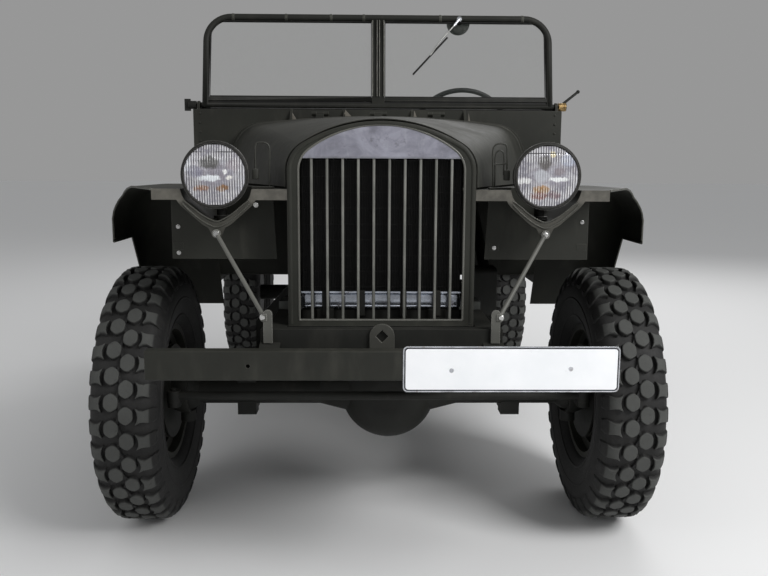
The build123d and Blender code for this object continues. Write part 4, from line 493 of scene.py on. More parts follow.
def add_piece(name, mesh, finish, body, smooth=30.0):
    """Turns a bmesh into a smooth-shaded piece with a finish, that rides on a body."""
    bmesh.ops.remove_doubles(mesh, verts=mesh.verts, dist=1e-6)
    bmesh.ops.recalc_face_normals(mesh, faces=mesh.faces)
    data = mesh_data(name, mesh)
    data.polygons.foreach_set("use_smooth", [True] * len(data.polygons))
    data.set_sharp_from_angle(angle=radians(smooth))
    data.materials.append(finish)
    piece = linked(name, data)
    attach(piece, body)
    return piece


def spin_profile(mesh, points, centre, axis, steps):
    """Turns a line of points about an axis into a full surface; points lie in the mesh's own space."""
    verts = [mesh.verts.new(point) for point in points]
    edges = [mesh.edges.new(pair) for pair in zip(verts, verts[1:])]
    bmesh.ops.spin(
        mesh, geom=verts + edges, cent=centre, axis=axis, dvec=(0, 0, 0), angle=2 * pi,
        steps=steps, use_merge=True,
    )


def copies_round(mesh, source, count, start):
    """Copies a piece of mesh evenly round the X axis."""
    for i in range(count):
        made = source.copy()
        turn_mesh(made, start + 2 * pi * i / count, "X")
        join(mesh, made)


def mesh_data(name, mesh):
    """Mesh data with all of a bmesh, which it frees."""
    data = bpy.data.meshes.new(name)
    mesh.to_mesh(data)
    mesh.free()
    return data


def join(mesh, other):
    """Adds all of one bmesh to another and frees it."""
    data = mesh_data("part", other)
    mesh.from_mesh(data)
    bpy.data.meshes.remove(data)


def soft_block(mesh, low, high, radius, segments=2):
    """A block between two corners with rounded edges."""
    made = bmesh.new()
    bmesh.ops.create_cube(made, size=1.0)
    size = Vector(high) - Vector(low)
    scale_mesh(made, size)
    shift_mesh(made, (Vector(low) + Vector(high)) / 2)
    round_off(made, made.edges[:], radius, segments)
    join(mesh, made)


def stand(made, place, axis):
    """Turns a small mesh that stands on Z to stand on another axis at a place."""
    upright = Vector((0, 0, 1)).rotation_difference(Vector(axis)).to_matrix()
    bmesh.ops.rotate(made, verts=made.verts, cent=(0, 0, 0), matrix=upright)
    shift_mesh(made, place)


def bolt(mesh, place, axis, size):
    """A six-sided head on a round washer; size is the head's radius."""
    made = bmesh.new()
    # Washer and head: sides, low and high radius, thickness and middle height
    for sides, low, high, depth, middle in ((14, 1.5, 1.4, 0.25, 0.1), (6, 1.0, 0.92, 0.75, 0.5)):
        bmesh.ops.create_cone(
            made, cap_ends=True, segments=sides, radius1=low * size, radius2=high * size, depth=depth * size,
            matrix=Matrix.Translation((0, 0, middle * size)),
        )
    stand(made, place, axis)
    join(mesh, made)


def rivet(mesh, place, axis, size):
    """A low round head."""
    made = bmesh.new()
    bmesh.ops.create_uvsphere(made, u_segments=10, v_segments=6, radius=size)
    scale_mesh(made, (1.0, 1.0, 0.5))
    stand(made, place, axis)
    join(mesh, made)


def smooth_path(points):
    """A soft curve through some points, as a longer list of points."""
    steps = 6
    knots = [Vector(p) for p in points]
    last = len(knots) - 1
    path = []
    for i in range(last):
        a, b, c, d = knots[max(i - 1, 0)], knots[i], knots[i + 1], knots[min(i + 2, last)]
        second = 2 * a - 5 * b + 4 * c - d
        third = 3 * b - a - 3 * c + d
        for k in range(steps):
            t = k / steps
            path.append(0.5 * (2 * b + (c - a) * t + second * t**2 + third * t**3))
    path.append(knots[-1])
    return path


def tube(mesh, path, radius, sides=8, closed=False):
    """A round wire along a list of points."""
    made = bmesh.new()
    rings = []
    count = len(path)
    normal = None
    for i, point in enumerate(path):
        ahead = path[(i + 1) % count] if closed else path[min(i + 1, count - 1)]
        behind = path[i - 1] if closed else path[max(i - 1, 0)]
        along = (Vector(ahead) - Vector(behind)).normalized()
        if normal is None:
            normal = along.orthogonal()
        normal = (normal - normal.dot(along) * along).normalized()
        turn = Matrix((normal, along.cross(normal), along)).transposed().to_4x4()
        ring = bmesh.ops.create_circle(
            made, cap_ends=False, segments=sides, radius=radius, matrix=Matrix.Translation(point) @ turn
        )["verts"]
        rings.append(ring)
    pairs = list(zip(rings, rings[1:]))
    if closed:
        pairs.append((rings[-1], rings[0]))
    for first, second in pairs:
        for k in range(sides):
            made.faces.new((first[k], first[(k + 1) % sides], second[(k + 1) % sides], second[k]))
    if not closed:
        made.faces.new(rings[0])
        made.faces.new(rings[-1])
    bmesh.ops.recalc_face_normals(made, faces=made.faces)
    join(mesh, made)


def disc_ring(mesh, place, axis, profile, steps):
    """Turns (radius, height) pairs about an axis at a place."""
    made = bmesh.new()
    spin_profile(made, [(r, 0, h) for r, h in profile], (0, 0, 0), (0, 0, 1), steps)
    bmesh.ops.remove_doubles(made, verts=made.verts, dist=1e-6)
    stand(made, place, axis)
    join(mesh, made)


def both_sides(mesh):
    """Adds the mirror image across the car's middle."""
    bmesh.ops.mirror(mesh, geom=mesh.verts[:] + mesh.edges[:] + mesh.faces[:], axis="X", merge_dist=-1)
    bmesh.ops.recalc_face_normals(mesh, faces=mesh.faces)


# Tyres: carcass with ribbed side walls, and four staggered rows of lugs
lug_rows = 34
lug_pitch = 2 * pi / lug_rows
# The carcass from the middle of the tread to the bead: place across the tyre and radius
carcass = [
    (0.000, 0.3880), (0.040, 0.3870), (0.066, 0.3840), (0.080, 0.3750), (0.0885, 0.3600), (0.0925, 0.3430),
    (0.0950, 0.3300), (0.0955, 0.3120), (0.0940, 0.3050), (0.0958, 0.3030), (0.0958, 0.2990),
    (0.0940, 0.2970), (0.0905, 0.2700), (0.0845, 0.2500), (0.0862, 0.2475), (0.0858, 0.2440),
    (0.0815, 0.2420), (0.0720, 0.2270), (0.0635, 0.2200), (0.0570, 0.2165), (0.0565, 0.2035),
]
# A shoulder lug from the tread to the side wall: place across, top radius, root radius and half length
shoulder_steps = [
    (0.0465, 0.4010, 0.3800, 0.0250), (0.0570, 0.4000, 0.3800, 0.0185), (0.0680, 0.3970, 0.3760, 0.0170),
    (0.0790, 0.3890, 0.3680, 0.0200), (0.0880, 0.3740, 0.3560, 0.0215), (0.0945, 0.3560, 0.3440, 0.0150),
]
middle_x = 0.0205
middle_half = (0.0250, 0.0305)
middle_turn = 4
lug_corner = 0.0070
worn_above = 0.385
carcass_steps = 136


def new_lug():
    """A bmesh whose points carry the number that the rubber's finish reads: 1 on worn tops."""
    lug = bmesh.new()
    lug.verts.layers.float.new("top")
    return lug


def mark_tops(lug, tops):
    layer = lug.verts.layers.float["top"]
    for vert in tops:
        vert[layer] = 1.0


def middle_lug():
    """A six-sided block with round corners, on the middle of the tread, standing on Z."""
    lug = new_lug()
    bmesh.ops.create_circle(lug, cap_ends=True, segments=6, radius=1.0)
    turn_mesh(lug, radians(middle_turn), "Z")
    scale_mesh(lug, (*middle_half, 1.0))
    shift_mesh(lug, (0, 0, carcass[0][1] - 0.003))
    top = raise_faces(lug, lug.faces[:], (0, 0, tyre_radius - carcass[0][1] + 0.0025))
    bmesh.ops.scale(lug, verts=top, vec=(0.90, 0.90, 1.0))
    mark_tops(lug, top)
    uprights = [e for e in lug.edges if abs(e.verts[0].co.z - e.verts[1].co.z) > 0.004]
    round_off(lug, uprights, lug_corner, 2)
    rim = [e for e in lug.edges if all(v.co.z > tyre_radius - 0.003 for v in e.verts)]
    round_off(lug, rim, 0.0014, 1)
    return lug


def shoulder_lug():
    """A waisted block that bends over the shoulder, hollow towards the middle lugs."""
    lug = new_lug()
    count = len(shoulder_steps) - 1
    bmesh.ops.create_grid(lug, x_segments=count, y_segments=4, size=1.0)
    top = set(raise_faces(lug, lug.faces[:]))
    for vert in lug.verts:
        step = round(count * (vert.co.x + 1) / 2)
        along = vert.co.y
        x, high, low, half = shoulder_steps[step]
        hollow = 0.0070 * (1 - along**2) if step == 0 else 0.0
        taper = 0.92 if vert in top else 1.04
        vert.co = Vector((x + hollow, taper * half * along, high if vert in top else low))
    mark_tops(lug, [v for v in top if v.co.z > worn_above])
    tops = [f for f in lug.faces if all(v in top for v in f.verts)]
    rim = [e for e in lug.edges if len([f for f in e.link_faces if f in tops]) == 1]
    round_off(lug, rim, 0.0015, 1)
    return lug


def tie_bar():
    """The low rib that joins one lug to the next row."""
    bar = new_lug()
    bmesh.ops.create_cube(bar, size=1.0)
    scale_mesh(bar, (0.008, 0.045, 0.010))
    turn_mesh(bar, radians(24), "Z")
    shift_mesh(bar, (0.004, 0.020, carcass[0][1] + 0.001))
    return bar


def tyre_mesh():
    """One tyre about the X axis, its middle at the origin."""
    tyre = new_lug()
    outline = [(-x, 0.0, r) for x, r in reversed(carcass[1:])] + [(x, 0.0, r) for x, r in carcass]
    spin_profile(tyre, outline, (0, 0, 0), (1, 0, 0), carcass_steps)
    # Each kind of block: its maker, place across, and lead in pitches
    blocks = ((middle_lug, middle_x, 0.0), (shoulder_lug, 0.0, 0.04), (tie_bar, 0.0, 0.0))
    for side, shift in ((1, 0.0), (-1, 0.5)):
        for make, across, ahead in blocks:
            block = make()
            shift_mesh(block, (across, 0, 0))
            if side < 0:
                scale_mesh(block, (-1, 1, 1))
                bmesh.ops.reverse_faces(block, faces=block.faces)
            copies_round(tyre, block, lug_rows, (shift + ahead) * lug_pitch)
            block.free()
    return tyre


wheels = [
    (f"{end}_{side}", f"wheel_{end}_{side}", (x, y, axle_z))
    for end, y in (("front", front_axle_y), ("rear", rear_axle_y))
    for side, x in (("left", wheel_x), ("right", -wheel_x))
]
wheels.append(("spare", "chassis", spare_place))
pattern = tyre_mesh()
for name, body, place in wheels:
    tyre = pattern.copy()
    if name == "spare":
        turn_mesh(tyre, pi / 2, "Z")
    shift_mesh(tyre, place)
    piece = add_piece(f"tread_{name}", tyre, rubber, body)
    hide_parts("spare_tyre" if name == "spare" else f"tyre_{name}")
pattern.free()


# Headlamps: fluted glass, mirror, bulb and the dark bezel over the glass's edge
lens_low, lens_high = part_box("headlamp_lenses")
lamp_centre_x = lens_high[0] - 0.085
lamp_centre_z = (lens_low[2] + lens_high[2]) / 2
glass_front = lens_low[1] - 0.0088
flute_count = 25
flute_depth = 0.0011
flute_top = 0.72 * lens_radius
glass_crown = 0.007
band_depth = 0.0009
band_height = 0.016
# Painted highlights, reflections and dark patches in each lamp's glass: place and half size in lens radii,
# colour and strength
left_highlights = [
    (-0.18, -0.42, 0.30, 0.14, (0.55, 0.30, 0.10), 0.9), (-0.24, -0.62, 0.28, 0.14, (0.30, 0.09, 0.06), 0.85),
    (0.22, -0.60, 0.24, 0.14, (0.24, 0.12, 0.13), 0.7), (-0.12, 0.42, 0.24, 0.24, (0.13, 0.12, 0.11), 0.85),
    (-0.22, 0.02, 0.26, 0.22, (0.62, 0.64, 0.68), 0.7), (-0.80, -0.14, 0.26, 0.11, (1.0, 1.0, 1.0), 1.0),
    (0.34, -0.10, 0.34, 0.07, (0.98, 1.0, 1.0), 1.0), (0.13, 0.70, 0.09, 0.10, (1.0, 0.86, 0.50), 1.0),
    (0.62, 0.52, 0.26, 0.24, (0.62, 0.68, 0.84), 0.6), (0.35, 0.15, 0.20, 0.14, (0.28, 0.24, 0.26), 0.7),
]
right_highlights = [
    (-0.45, -0.42, 0.26, 0.10, (0.42, 0.21, 0.11), 0.85), (0.22, -0.42, 0.22, 0.11, (0.34, 0.17, 0.06), 0.9),
    (-0.15, 0.40, 0.34, 0.22, (0.10, 0.10, 0.09), 0.85), (-0.18, -0.10, 0.36, 0.11, (0.92, 0.96, 1.0), 1.0),
    (0.29, 0.10, 0.08, 0.09, (1.0, 1.0, 1.0), 1.0), (0.45, -0.09, 0.12, 0.07, (0.98, 0.96, 0.92), 1.0),
    (-0.62, 0.10, 0.28, 0.20, (0.24, 0.24, 0.34), 0.6), (-0.86, 0.36, 0.14, 0.26, (0.90, 0.94, 1.0), 0.8),
    (0.62, 0.32, 0.26, 0.20, (0.44, 0.38, 0.42), 0.6),
]
lamps = (("left", lamp_centre_x, left_highlights), ("right", -lamp_centre_x, right_highlights))


def lamp_glass(x):
    """A crowned disc whose face is pressed into upright flutes, plain above a line near its top."""
    glass = bmesh.new()
    bmesh.ops.create_grid(glass, x_segments=8 * flute_count, y_segments=36, size=lens_radius)
    outside = [v for v in glass.verts if hypot(v.co.x, v.co.y) > lens_radius]
    bmesh.ops.delete(glass, geom=outside, context="VERTS")
    for vert in glass.verts:
        u, v = vert.co.x, vert.co.y
        crown = glass_crown * (1 - (u * u + v * v) / lens_radius**2)
        fluted = 0.0 if v > flute_top else 1.0
        ripple = fluted * flute_depth * abs(sin(pi * flute_count * (u + lens_radius) / (2 * lens_radius)))
        band = band_depth * sin(pi * v / band_height) ** 2 if v < flute_top else 0.0
        vert.co = Vector((x + u, glass_front + 0.0065 - crown - ripple - band, lamp_centre_z + v))
    return glass


# A lamp's turned parts: finish, slot, steps and outline, as radius and distance behind the glass's front
lamp_parts = {
    "mirror": (silvering, "lens_glass", 48, [
        (r, 0.014 + 0.062 * (1 - (r / lens_radius) ** 2))
        for r in (0.078, 0.070, 0.060, 0.048, 0.036, 0.024, 0.012, 0.0)
    ]),
    "bulb": (brass, "lens_glass", 20, [
        (0.0, 0.026), (0.006, 0.028), (0.0095, 0.034), (0.0095, 0.042),
        (0.0060, 0.050), (0.0110, 0.052), (0.0110, 0.072),
    ]),
    "bezel": (bezel_paint, "lamp_bowl", 64, [
        (0.0790, 0.0070), (0.0794, 0.0042), (0.0815, 0.0030), (0.0845, 0.0036),
        (0.0868, 0.0060), (0.0876, 0.0110), (0.0876, 0.0175),
    ]),
}
for side, x, highlights in lamps:
    lens = fluted_glass(f"lamp_lens_{side}", x, lamp_centre_z, lens_radius, flute_count, highlights)
    piece = add_piece(f"lamp_glass_{side}", lamp_glass(x), lens, "chassis", 50)
    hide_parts("headlamp_lenses")
    for part, (finish, slot, steps, outline) in lamp_parts.items():
        turned = bmesh.new()
        points = [(x + r, glass_front + behind, lamp_centre_z) for r, behind in outline]
        spin_profile(turned, points, (x, 0, lamp_centre_z), (0, 1, 0), steps)
        add_piece(f"lamp_{part}_{side}", turned, finish, "chassis")


# Radiator: core with upright fins, bright lower tank held by straps, and the upper tank
radiator_low, radiator_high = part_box("radiator")
core_half = 0.213
core_front = radiator_low[1]
core_back = radiator_high[1]
core_foot = 0.786
core_top = 1.138
fin_pitch = 0.0045
core_rows = 9
row_pitch = 0.042

# Upright fins and thin rows across them
core = bmesh.new()
soft_block(core, (-core_half, core_front + 0.006, core_foot), (core_half, core_back, core_top), 0.001, 1)
fin = bmesh.new()
soft_block(fin, (-0.0005, core_front + 0.001, 0.788), (0.0005, core_front + 0.010, 1.136), 0.0002, 1)
for i in range(round(2 * core_half / fin_pitch) - 1):
    made = fin.copy()
    shift_mesh(made, (-core_half + (i + 1) * fin_pitch, 0, 0))
    join(core, made)
fin.free()
for i in range(core_rows):
    height = 0.800 + row_pitch * i
    low = (-core_half, core_front + 0.003, height)
    soft_block(core, low, (core_half, core_front + 0.008, height + 0.003), 0.0005, 1)
piece = add_piece("radiator_core", core, core_metal, "chassis")
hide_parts("radiator")

# Lower tank, upper tank and the lower tank's flange: half width, front, foot, top, edge radius and its steps
tank_blocks = [
    (core_half + 0.004, core_front, 0.740, core_foot, 0.014, 4),
    (core_half - 0.018, core_front, core_top, 1.190, 0.016, 4),
    (core_half + 0.003, core_front - 0.001, 0.784, 0.790, 0.001, 1),
]
tanks = bmesh.new()
for half, front, foot, top, radius, steps in tank_blocks:
    soft_block(tanks, (-half, front, foot), (half, core_back, top), radius, steps)
add_piece("radiator_tanks", tanks, tank_metal, "chassis")
straps = bmesh.new()
for x in (-0.150, -0.052, 0.060, 0.152):
    soft_block(straps, (x - 0.009, core_front - 0.0025, 0.722), (x + 0.009, core_back, 0.792), 0.002, 1)
for x in (-0.150, 0.150):
    soft_block(straps, (x - 0.025, core_front + 0.002, 0.702), (x + 0.025, core_back, 0.742), 0.003, 1)
add_piece("radiator_straps", straps, chassis_paint, "chassis")

# A plain cross member under the lower tank, where the radiator's lower frame would sit; its dark paint also
# stands in as painted shade below the tank and hides the floor behind
cradle = bmesh.new()
soft_block(cradle, (-0.2150, core_front + 0.012, 0.7020), (0.2150, core_back - 0.002, 0.7385), 0.002, 1)
add_piece("radiator_cradle", cradle, chassis_paint, "chassis")


# Small fittings on the front: bolts, rivets, wire hoops, rolled edges and beads
forward = (0, -1, 0)
rearward = (0, 1, 0)
leftward = (1, 0, 0)
shell_y = -0.430


def at(y):
    """The Y of a place that is measured rearwards from the front axle."""
    return front_axle_y + y


# Bright bolt heads: place across, behind the front axle, height and size
front_bolts = [
    (lamp_x, -0.4415, 0.946, 0.0052), (-lamp_x, -0.4415, 0.946, 0.0056), (0.292, -0.6005, 0.754, 0.0060),
    (-0.292, -0.6005, 0.754, 0.0060), (-0.3285, -0.4305, 1.0205, 0.0046), (0.3135, -0.3305, 0.900, 0.0040),
    (0.556, -0.3305, 0.972, 0.0040), (-0.556, -0.3305, 0.956, 0.0042), (-0.556, -0.3305, 0.884, 0.0042),
]
bolts = bmesh.new()
for x, y, z, size in front_bolts:
    bolt(bolts, (x, at(y), z), forward, size)
add_piece("front_bolts", bolts, bright_steel, "chassis")

# Pads under the aprons' bolts, and three rivets on each trough's foot
clamps = bmesh.new()
for x in (0.3135, 0.556, -0.556):
    soft_block(clamps, (x - 0.014, at(-0.3307), 0.892), (x + 0.014, at(-0.3292), 0.912), 0.0006, 1)
for x in (lamp_x, -lamp_x):
    for shift in (-0.014, 0.0, 0.014):
        rivet(clamps, (x + shift, at(-0.3705), 1.008), forward, 0.0034)
add_piece("apron_pads", clamps, body_paint, "chassis")

# Rivet rows: first place, step, count, axis and size
rivet_rows = [
    ((0.668, at(0.5447), 1.045), (0, 0, 0.034), 9, forward, 0.0050),
    ((0.668, at(0.5447), 0.735), (0, 0, 0.045), 7, forward, 0.0050),
    ((0.640, at(2.4553), 0.940), (0, 0, 0.055), 4, rearward, 0.0050),
    ((0.570, at(2.4553), 0.665), (0, 0, 0.060), 4, rearward, 0.0050),
    ((0.6933, at(0.575), 0.660), (0, 0, 0.060), 11, leftward, 0.0045),
    ((0.6933, at(1.330), 0.830), (0, 0, 0.055), 6, leftward, 0.0045),
    ((0.6933, at(2.430), 0.940), (0, 0, 0.055), 4, leftward, 0.0045),
    ((0.6933, at(0.660), 0.640), (0, 0.080, 0), 11, leftward, 0.0045),
]
rivets = bmesh.new()
for first, step, count, axis, size in rivet_rows:
    for i in range(count):
        rivet(rivets, Vector(first) + i * Vector(step), axis, size)
both_sides(rivets)
add_piece("body_rivets", rivets, body_paint, "chassis")

# Two fine beads along each lamp trough's valley
valley = [(-0.0865, 1.0325), (-0.070, 1.021), (-0.045, 1.000), (-0.022, 0.9855), (0.0, 0.9775)]
valley += [(-x, z) for x, z in reversed(valley[:-1])]
bead_gap = 0.0150
valley_beads = bmesh.new()
for drop in (0.0, bead_gap):
    path = [(lamp_x + x, at(-0.4312), z - drop * (1.0 if abs(x) < 0.08 else 0.6)) for x, z in valley]
    tube(valley_beads, smooth_path(path), 0.0019, 6)
both_sides(valley_beads)
add_piece("trough_beads", valley_beads, edge_paint, "chassis")

# The wired edge of each front fender, from the strip's end over the shoulder and along the skirt
bead_radius = 0.0032
shoulder_x = 0.715
shoulder_z = 0.932
shoulder_radius = 0.130
bead_out = 0.8415
edge = [(0.600, at(-0.430), 1.0605), (0.655, at(-0.3145), 1.0605), (0.700, at(-0.220), 1.0605)]
for x in (0.730, 0.760, 0.782, 0.800, 0.815, 0.828, 0.836):
    y = -0.430 + 2.1 * (x - 0.600) if x <= 0.800 else -0.010 + 0.545 * (x - 0.800)
    edge.append((x, at(y), shoulder_z + sqrt(shoulder_radius**2 - (x - shoulder_x) ** 2) - 0.0015))
edge += [(bead_out, at(0.0130), 0.955), (bead_out, at(0.0150), 0.925), (bead_out, at(0.0155), 0.890)]
skirt = [(bead_out, at(0.0155), 0.882), (bead_out, at(0.100), 0.882), (bead_out, at(0.212), 0.882)]
skirt += [(bead_out, at(0.300), 0.757), (bead_out, at(0.408), 0.602)]
for degrees in (20, 40, 60, 80, 90):
    turn = radians(degrees)
    skirt.append((shoulder_x + 0.1265 * cos(turn), at(0.410 + 0.110 * sin(turn)), 0.602))
beads = bmesh.new()
tube(beads, edge, bead_radius)
tube(beads, skirt, bead_radius)
both_sides(beads)
add_piece("fender_beads", beads, edge_paint, "chassis")

# Wire hoops that hold the bonnet's sides
hoop = [(0.2985, 1.064), (0.2975, 1.120), (0.2965, 1.165), (0.304, 1.180), (0.322, 1.183)]
hoop += [(0.334, 1.172), (0.335, 1.112)]
inner_hoop = [(0.3045, 1.064), (0.3040, 1.118), (0.3045, 1.152), (0.3110, 1.164), (0.3200, 1.164)]
inner_hoop += [(0.3265, 1.152), (0.3270, 1.100)]
hoops = bmesh.new()
tube(hoops, smooth_path([(x, at(-0.380), z) for x, z in hoop]), 0.0022)
soft_block(hoops, (0.286, at(-0.394), 1.0625), (0.346, at(-0.366), 1.068), 0.002, 1)
soft_block(hoops, (0.327, at(-0.388), 1.086), (0.343, at(-0.372), 1.114), 0.003)
both_sides(hoops)
tube(hoops, smooth_path([(x, at(-0.375), z) for x, z in inner_hoop]), 0.0020)
tube(hoops, [(0.2965, at(-0.378), 1.1280), (0.3360, at(-0.378), 1.1310)], 0.0022)
add_piece("bonnet_hoops", hoops, wire_paint, "chassis")


def arch_path(half, foot, side_top, crown, corner):
    """The outline of the radiator shell or of its opening, from one foot over the crown to the other."""
    steps = 10
    rise = crown - side_top
    radius = (half**2 + rise**2) / (2 * rise)
    middle = crown - radius
    lift = sqrt((radius - corner) ** 2 - (half - corner) ** 2)
    last = atan2(lift, half - corner)
    side = [(half, foot), (half, (foot + middle + lift) / 2)]
    for k in range(steps + 1):
        angle = last * k / steps
        side.append((half - corner + corner * cos(angle), middle + lift + corner * sin(angle)))
    for k in range(1, 2 * steps):
        angle = last + (pi / 2 - last) * k / (2 * steps)
        side.append((radius * cos(angle), middle + radius * sin(angle)))
    return side + [(0.0, crown)] + [(-x, z) for x, z in reversed(side)]


# The bead round the shell's opening and across its foot, its light paint a painted highlight
shell_edges = bmesh.new()
opening = arch_path(0.2175, 0.7160, 1.142, 1.2285, 0.068)
tube(shell_edges, [(x, at(shell_y) + 0.0006, z) for x, z in opening], 0.0030)
tube(shell_edges, [(0.2175, at(shell_y) + 0.0006, 0.7155), (-0.2175, at(shell_y) + 0.0006, 0.7155)], 0.0028)
add_piece("shell_opening_bead", shell_edges, edge_highlight_paint, "chassis")

# Grille: the arch plate and the ten bars that run down behind the shell's foot
bar_count = 10
bar_pitch = 0.0408
bar_half = 0.004
bar_front = 0.0025
bar_back = 0.0165
bars = bmesh.new()
arch = arch_path(0.218, 0.716, 1.142, 1.229, 0.068)
plate = [(0.218, 1.142)] + [(x, z) for x, z in arch if z > 1.1425] + [(-0.218, 1.142)]
face = bars.faces.new([bars.verts.new((x, at(shell_y), z)) for x, z in plate])
raise_faces(bars, [face], (0, bar_front, 0))
for i in range(bar_count):
    x = (i - (bar_count - 1) / 2) * bar_pitch
    low = (x - bar_half, at(shell_y) + bar_front, 0.704)
    soft_block(bars, low, (x + bar_half, at(shell_y) + bar_back, 1.160), 0.0025, 3)
piece = add_piece("grille_bars", bars, grille_metal, "chassis")
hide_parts("grille")

# The shell's rolled front rim
rims = bmesh.new()
outline = arch_path(0.2400, 0.7060, 1.150, 1.2310, 0.074)
tube(rims, [(x, at(shell_y) + 0.0045, z) for x, z in outline], 0.0075, 12)
add_piece("shell_rim", rims, body_paint, "chassis")

# Number plate: silver edge, thin dark line, white enamel field and its screws
plate_low, plate_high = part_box("number_plate")
plate_x = (plate_low[0] + plate_high[0]) / 2
plate_z = (plate_low[2] + plate_high[2]) / 2
plate_half = ((plate_high[0] - plate_low[0]) / 2, (plate_high[2] - plate_low[2]) / 2)
plate_front = plate_low[1]


def plate_layer(inset, corner, behind):
    """A flat slab with round corners, inset from the plate's edge and a little behind its front."""
    front, back = plate_front + behind, plate_front + 0.002
    layer = bmesh.new()
    half_x, half_z = plate_half[0] - inset, plate_half[1] - inset
    bmesh.ops.create_grid(layer, x_segments=1, y_segments=1, size=1.0)
    scale_mesh(layer, (half_x, half_z, 1.0))
    round_off(layer, layer.verts[:], corner, 6, "VERTICES")
    raise_faces(layer, layer.faces[:], (0, 0, back - front))
    turn_mesh(layer, pi / 2, "X")
    shift_mesh(layer, (plate_x, back, plate_z))
    return layer


border = plate_layer(0.0, 0.011, 0.0010)
piece = add_piece("plate_edge", border, silver, "chassis")
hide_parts("number_plate")
line = plate_layer(0.0032, 0.009, 0.0006)
add_piece("plate_line", line, dark_line, "chassis")
field = plate_layer(0.0062, 0.007, 0.0002)
add_piece("plate_field", field, enamel, "chassis")
screws = bmesh.new()
head = [(0.0055, -0.002), (0.0055, 0.0), (0.0, 0.0)]
for x, z in ((0.165, 0.640), (0.451, 0.644)):
    disc_ring(screws, (x, plate_front + 0.0001, z), forward, head, 16)
add_piece("plate_screws", screws, silver, "chassis")

# Wheel nuts, hub details and valves
nut_count = 6
nut_ring = 0.061
nut_face = 0.017
nut_size = 0.0105
hub_count = 8
hub_ring = 0.0305
hub_face = nut_face + 0.0205
for name, body, place in wheels:
    nuts = bmesh.new()
    for i in range(nut_count):
        turn = radians(360 / nut_count * i + 15)
        bolt(nuts, (nut_face, nut_ring * cos(turn), nut_ring * sin(turn)), leftward, nut_size)
    for i in range(hub_count):
        turn = radians(360 / hub_count * i)
        rivet(nuts, (hub_face, hub_ring * cos(turn), hub_ring * sin(turn)), leftward, 0.0040)
    tube(nuts, [(0.012, 0, 0.178), (0.030, 0, 0.170), (0.040, 0, 0.163)], 0.0042)
    if name == "spare":
        turn_mesh(nuts, pi / 2, "Z")
    elif place[0] < 0:
        scale_mesh(nuts, (-1, 1, 1))
    shift_mesh(nuts, place)
    add_piece(f"wheel_nuts_{name}", nuts, bolt_steel, body)


# Windscreen: its plane, then its frame, straps, rubber and wiper
screen_y = at(0.565)
screen_z = 1.349
screen_rake = radians(12)


def on_screen(x, up, out=0.0):
    """A point in the windscreen's plane, out towards the front."""
    y = screen_y + up * sin(screen_rake) - out * cos(screen_rake)
    return (x, y, screen_z + up * cos(screen_rake) + out * sin(screen_rake))


screen_out = (0, -cos(screen_rake), sin(screen_rake))

# The screen's frame, with the tube's upper corners bent to the photograph's wider turn
turn_x = 0.587
turn_up = 0.277
turn_more = 0.030
screen_frame = bmesh.new()
screen_frame.from_mesh(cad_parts["windscreen_frame"].data)
bmesh.ops.remove_doubles(screen_frame, verts=screen_frame.verts, dist=1e-6)
for v in screen_frame.verts:
    up = (v.co.y - screen_y) * sin(screen_rake) + (v.co.z - screen_z) * cos(screen_rake)
    out = (v.co.z - screen_z) * sin(screen_rake) - (v.co.y - screen_y) * cos(screen_rake)
    across_turn = abs(v.co.x) - turn_x
    along_turn = up - turn_up
    if across_turn > -0.0005 and along_turn > -0.0005:
        wider = (hypot(across_turn, along_turn) + turn_more) / hypot(across_turn, along_turn)
        x = turn_x - turn_more + across_turn * wider
        side = 1 if v.co.x > 0 else -1
        v.co = Vector(on_screen(side * x, turn_up - turn_more + along_turn * wider, out))
piece = add_piece("screen_frame", screen_frame, shaded_screen_paint, "windscreen")
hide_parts("windscreen_frame")

strap_places = [-0.549, -0.349, -0.179, -0.055, 0.236, 0.549]
strap = [(0.0128, 0.0), (0.0142, 0.001), (0.0142, 0.009), (0.0128, 0.010)]
straps = bmesh.new()
for x in strap_places:
    disc_ring(straps, on_screen(x - 0.005, 0.3395), leftward, strap, 16)
add_piece("screen_straps", straps, edge_paint, "windscreen")

# The rubber round each pane, in front and behind
pane_edges = bmesh.new()
pane = [(0.026, 0.034), (0.634, 0.034), (0.634, 0.270), (0.630, 0.296), (0.615, 0.315)]
pane += [(0.590, 0.323), (0.026, 0.323)]
for out in (0.0032, -0.0032):
    path = [on_screen(x, up, out) for x, up in pane]
    tube(pane_edges, path, 0.0028, 6, True)
both_sides(pane_edges)
add_piece("screen_rubber", pane_edges, rubber_seal, "windscreen")

# Wiper: the motor behind the tube, cut off level with its top, and the arm and blade in front of the glass
pivot_x = 0.308
pivot_up = 0.334
motor_top = 0.350
motor_bolts = 0.036
blade_ends = ((0.262, 0.263), (0.132, 0.120))
motor = bmesh.new()
disc = [(0.0, 0.0), (0.036, 0.0), (0.043, 0.004), (0.044, 0.010), (0.044, 0.026), (0.041, 0.033)]
disc += [(0.030, 0.036), (0.0, 0.036)]
disc_ring(motor, on_screen(pivot_x, pivot_up, -0.0130), tuple(-c for c in screen_out), disc, 32)
screen_up = (0, sin(screen_rake), cos(screen_rake))
parts = motor.verts[:] + motor.edges[:] + motor.faces[:]
level = on_screen(0, motor_top)
bmesh.ops.bisect_plane(motor, geom=parts, plane_co=level, plane_no=screen_up, clear_outer=True)
bmesh.ops.holes_fill(motor, edges=[e for e in motor.edges if e.is_boundary])
for degrees in (0, 180, 240, 300):
    turn = radians(degrees)
    place = on_screen(pivot_x + motor_bolts * cos(turn), pivot_up + motor_bolts * sin(turn), -0.0125)
    bolt(motor, place, screen_out, 0.0030)
piece = add_piece("wiper_motor", motor, chassis_paint, "windscreen")
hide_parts("wiper")
arm = bmesh.new()
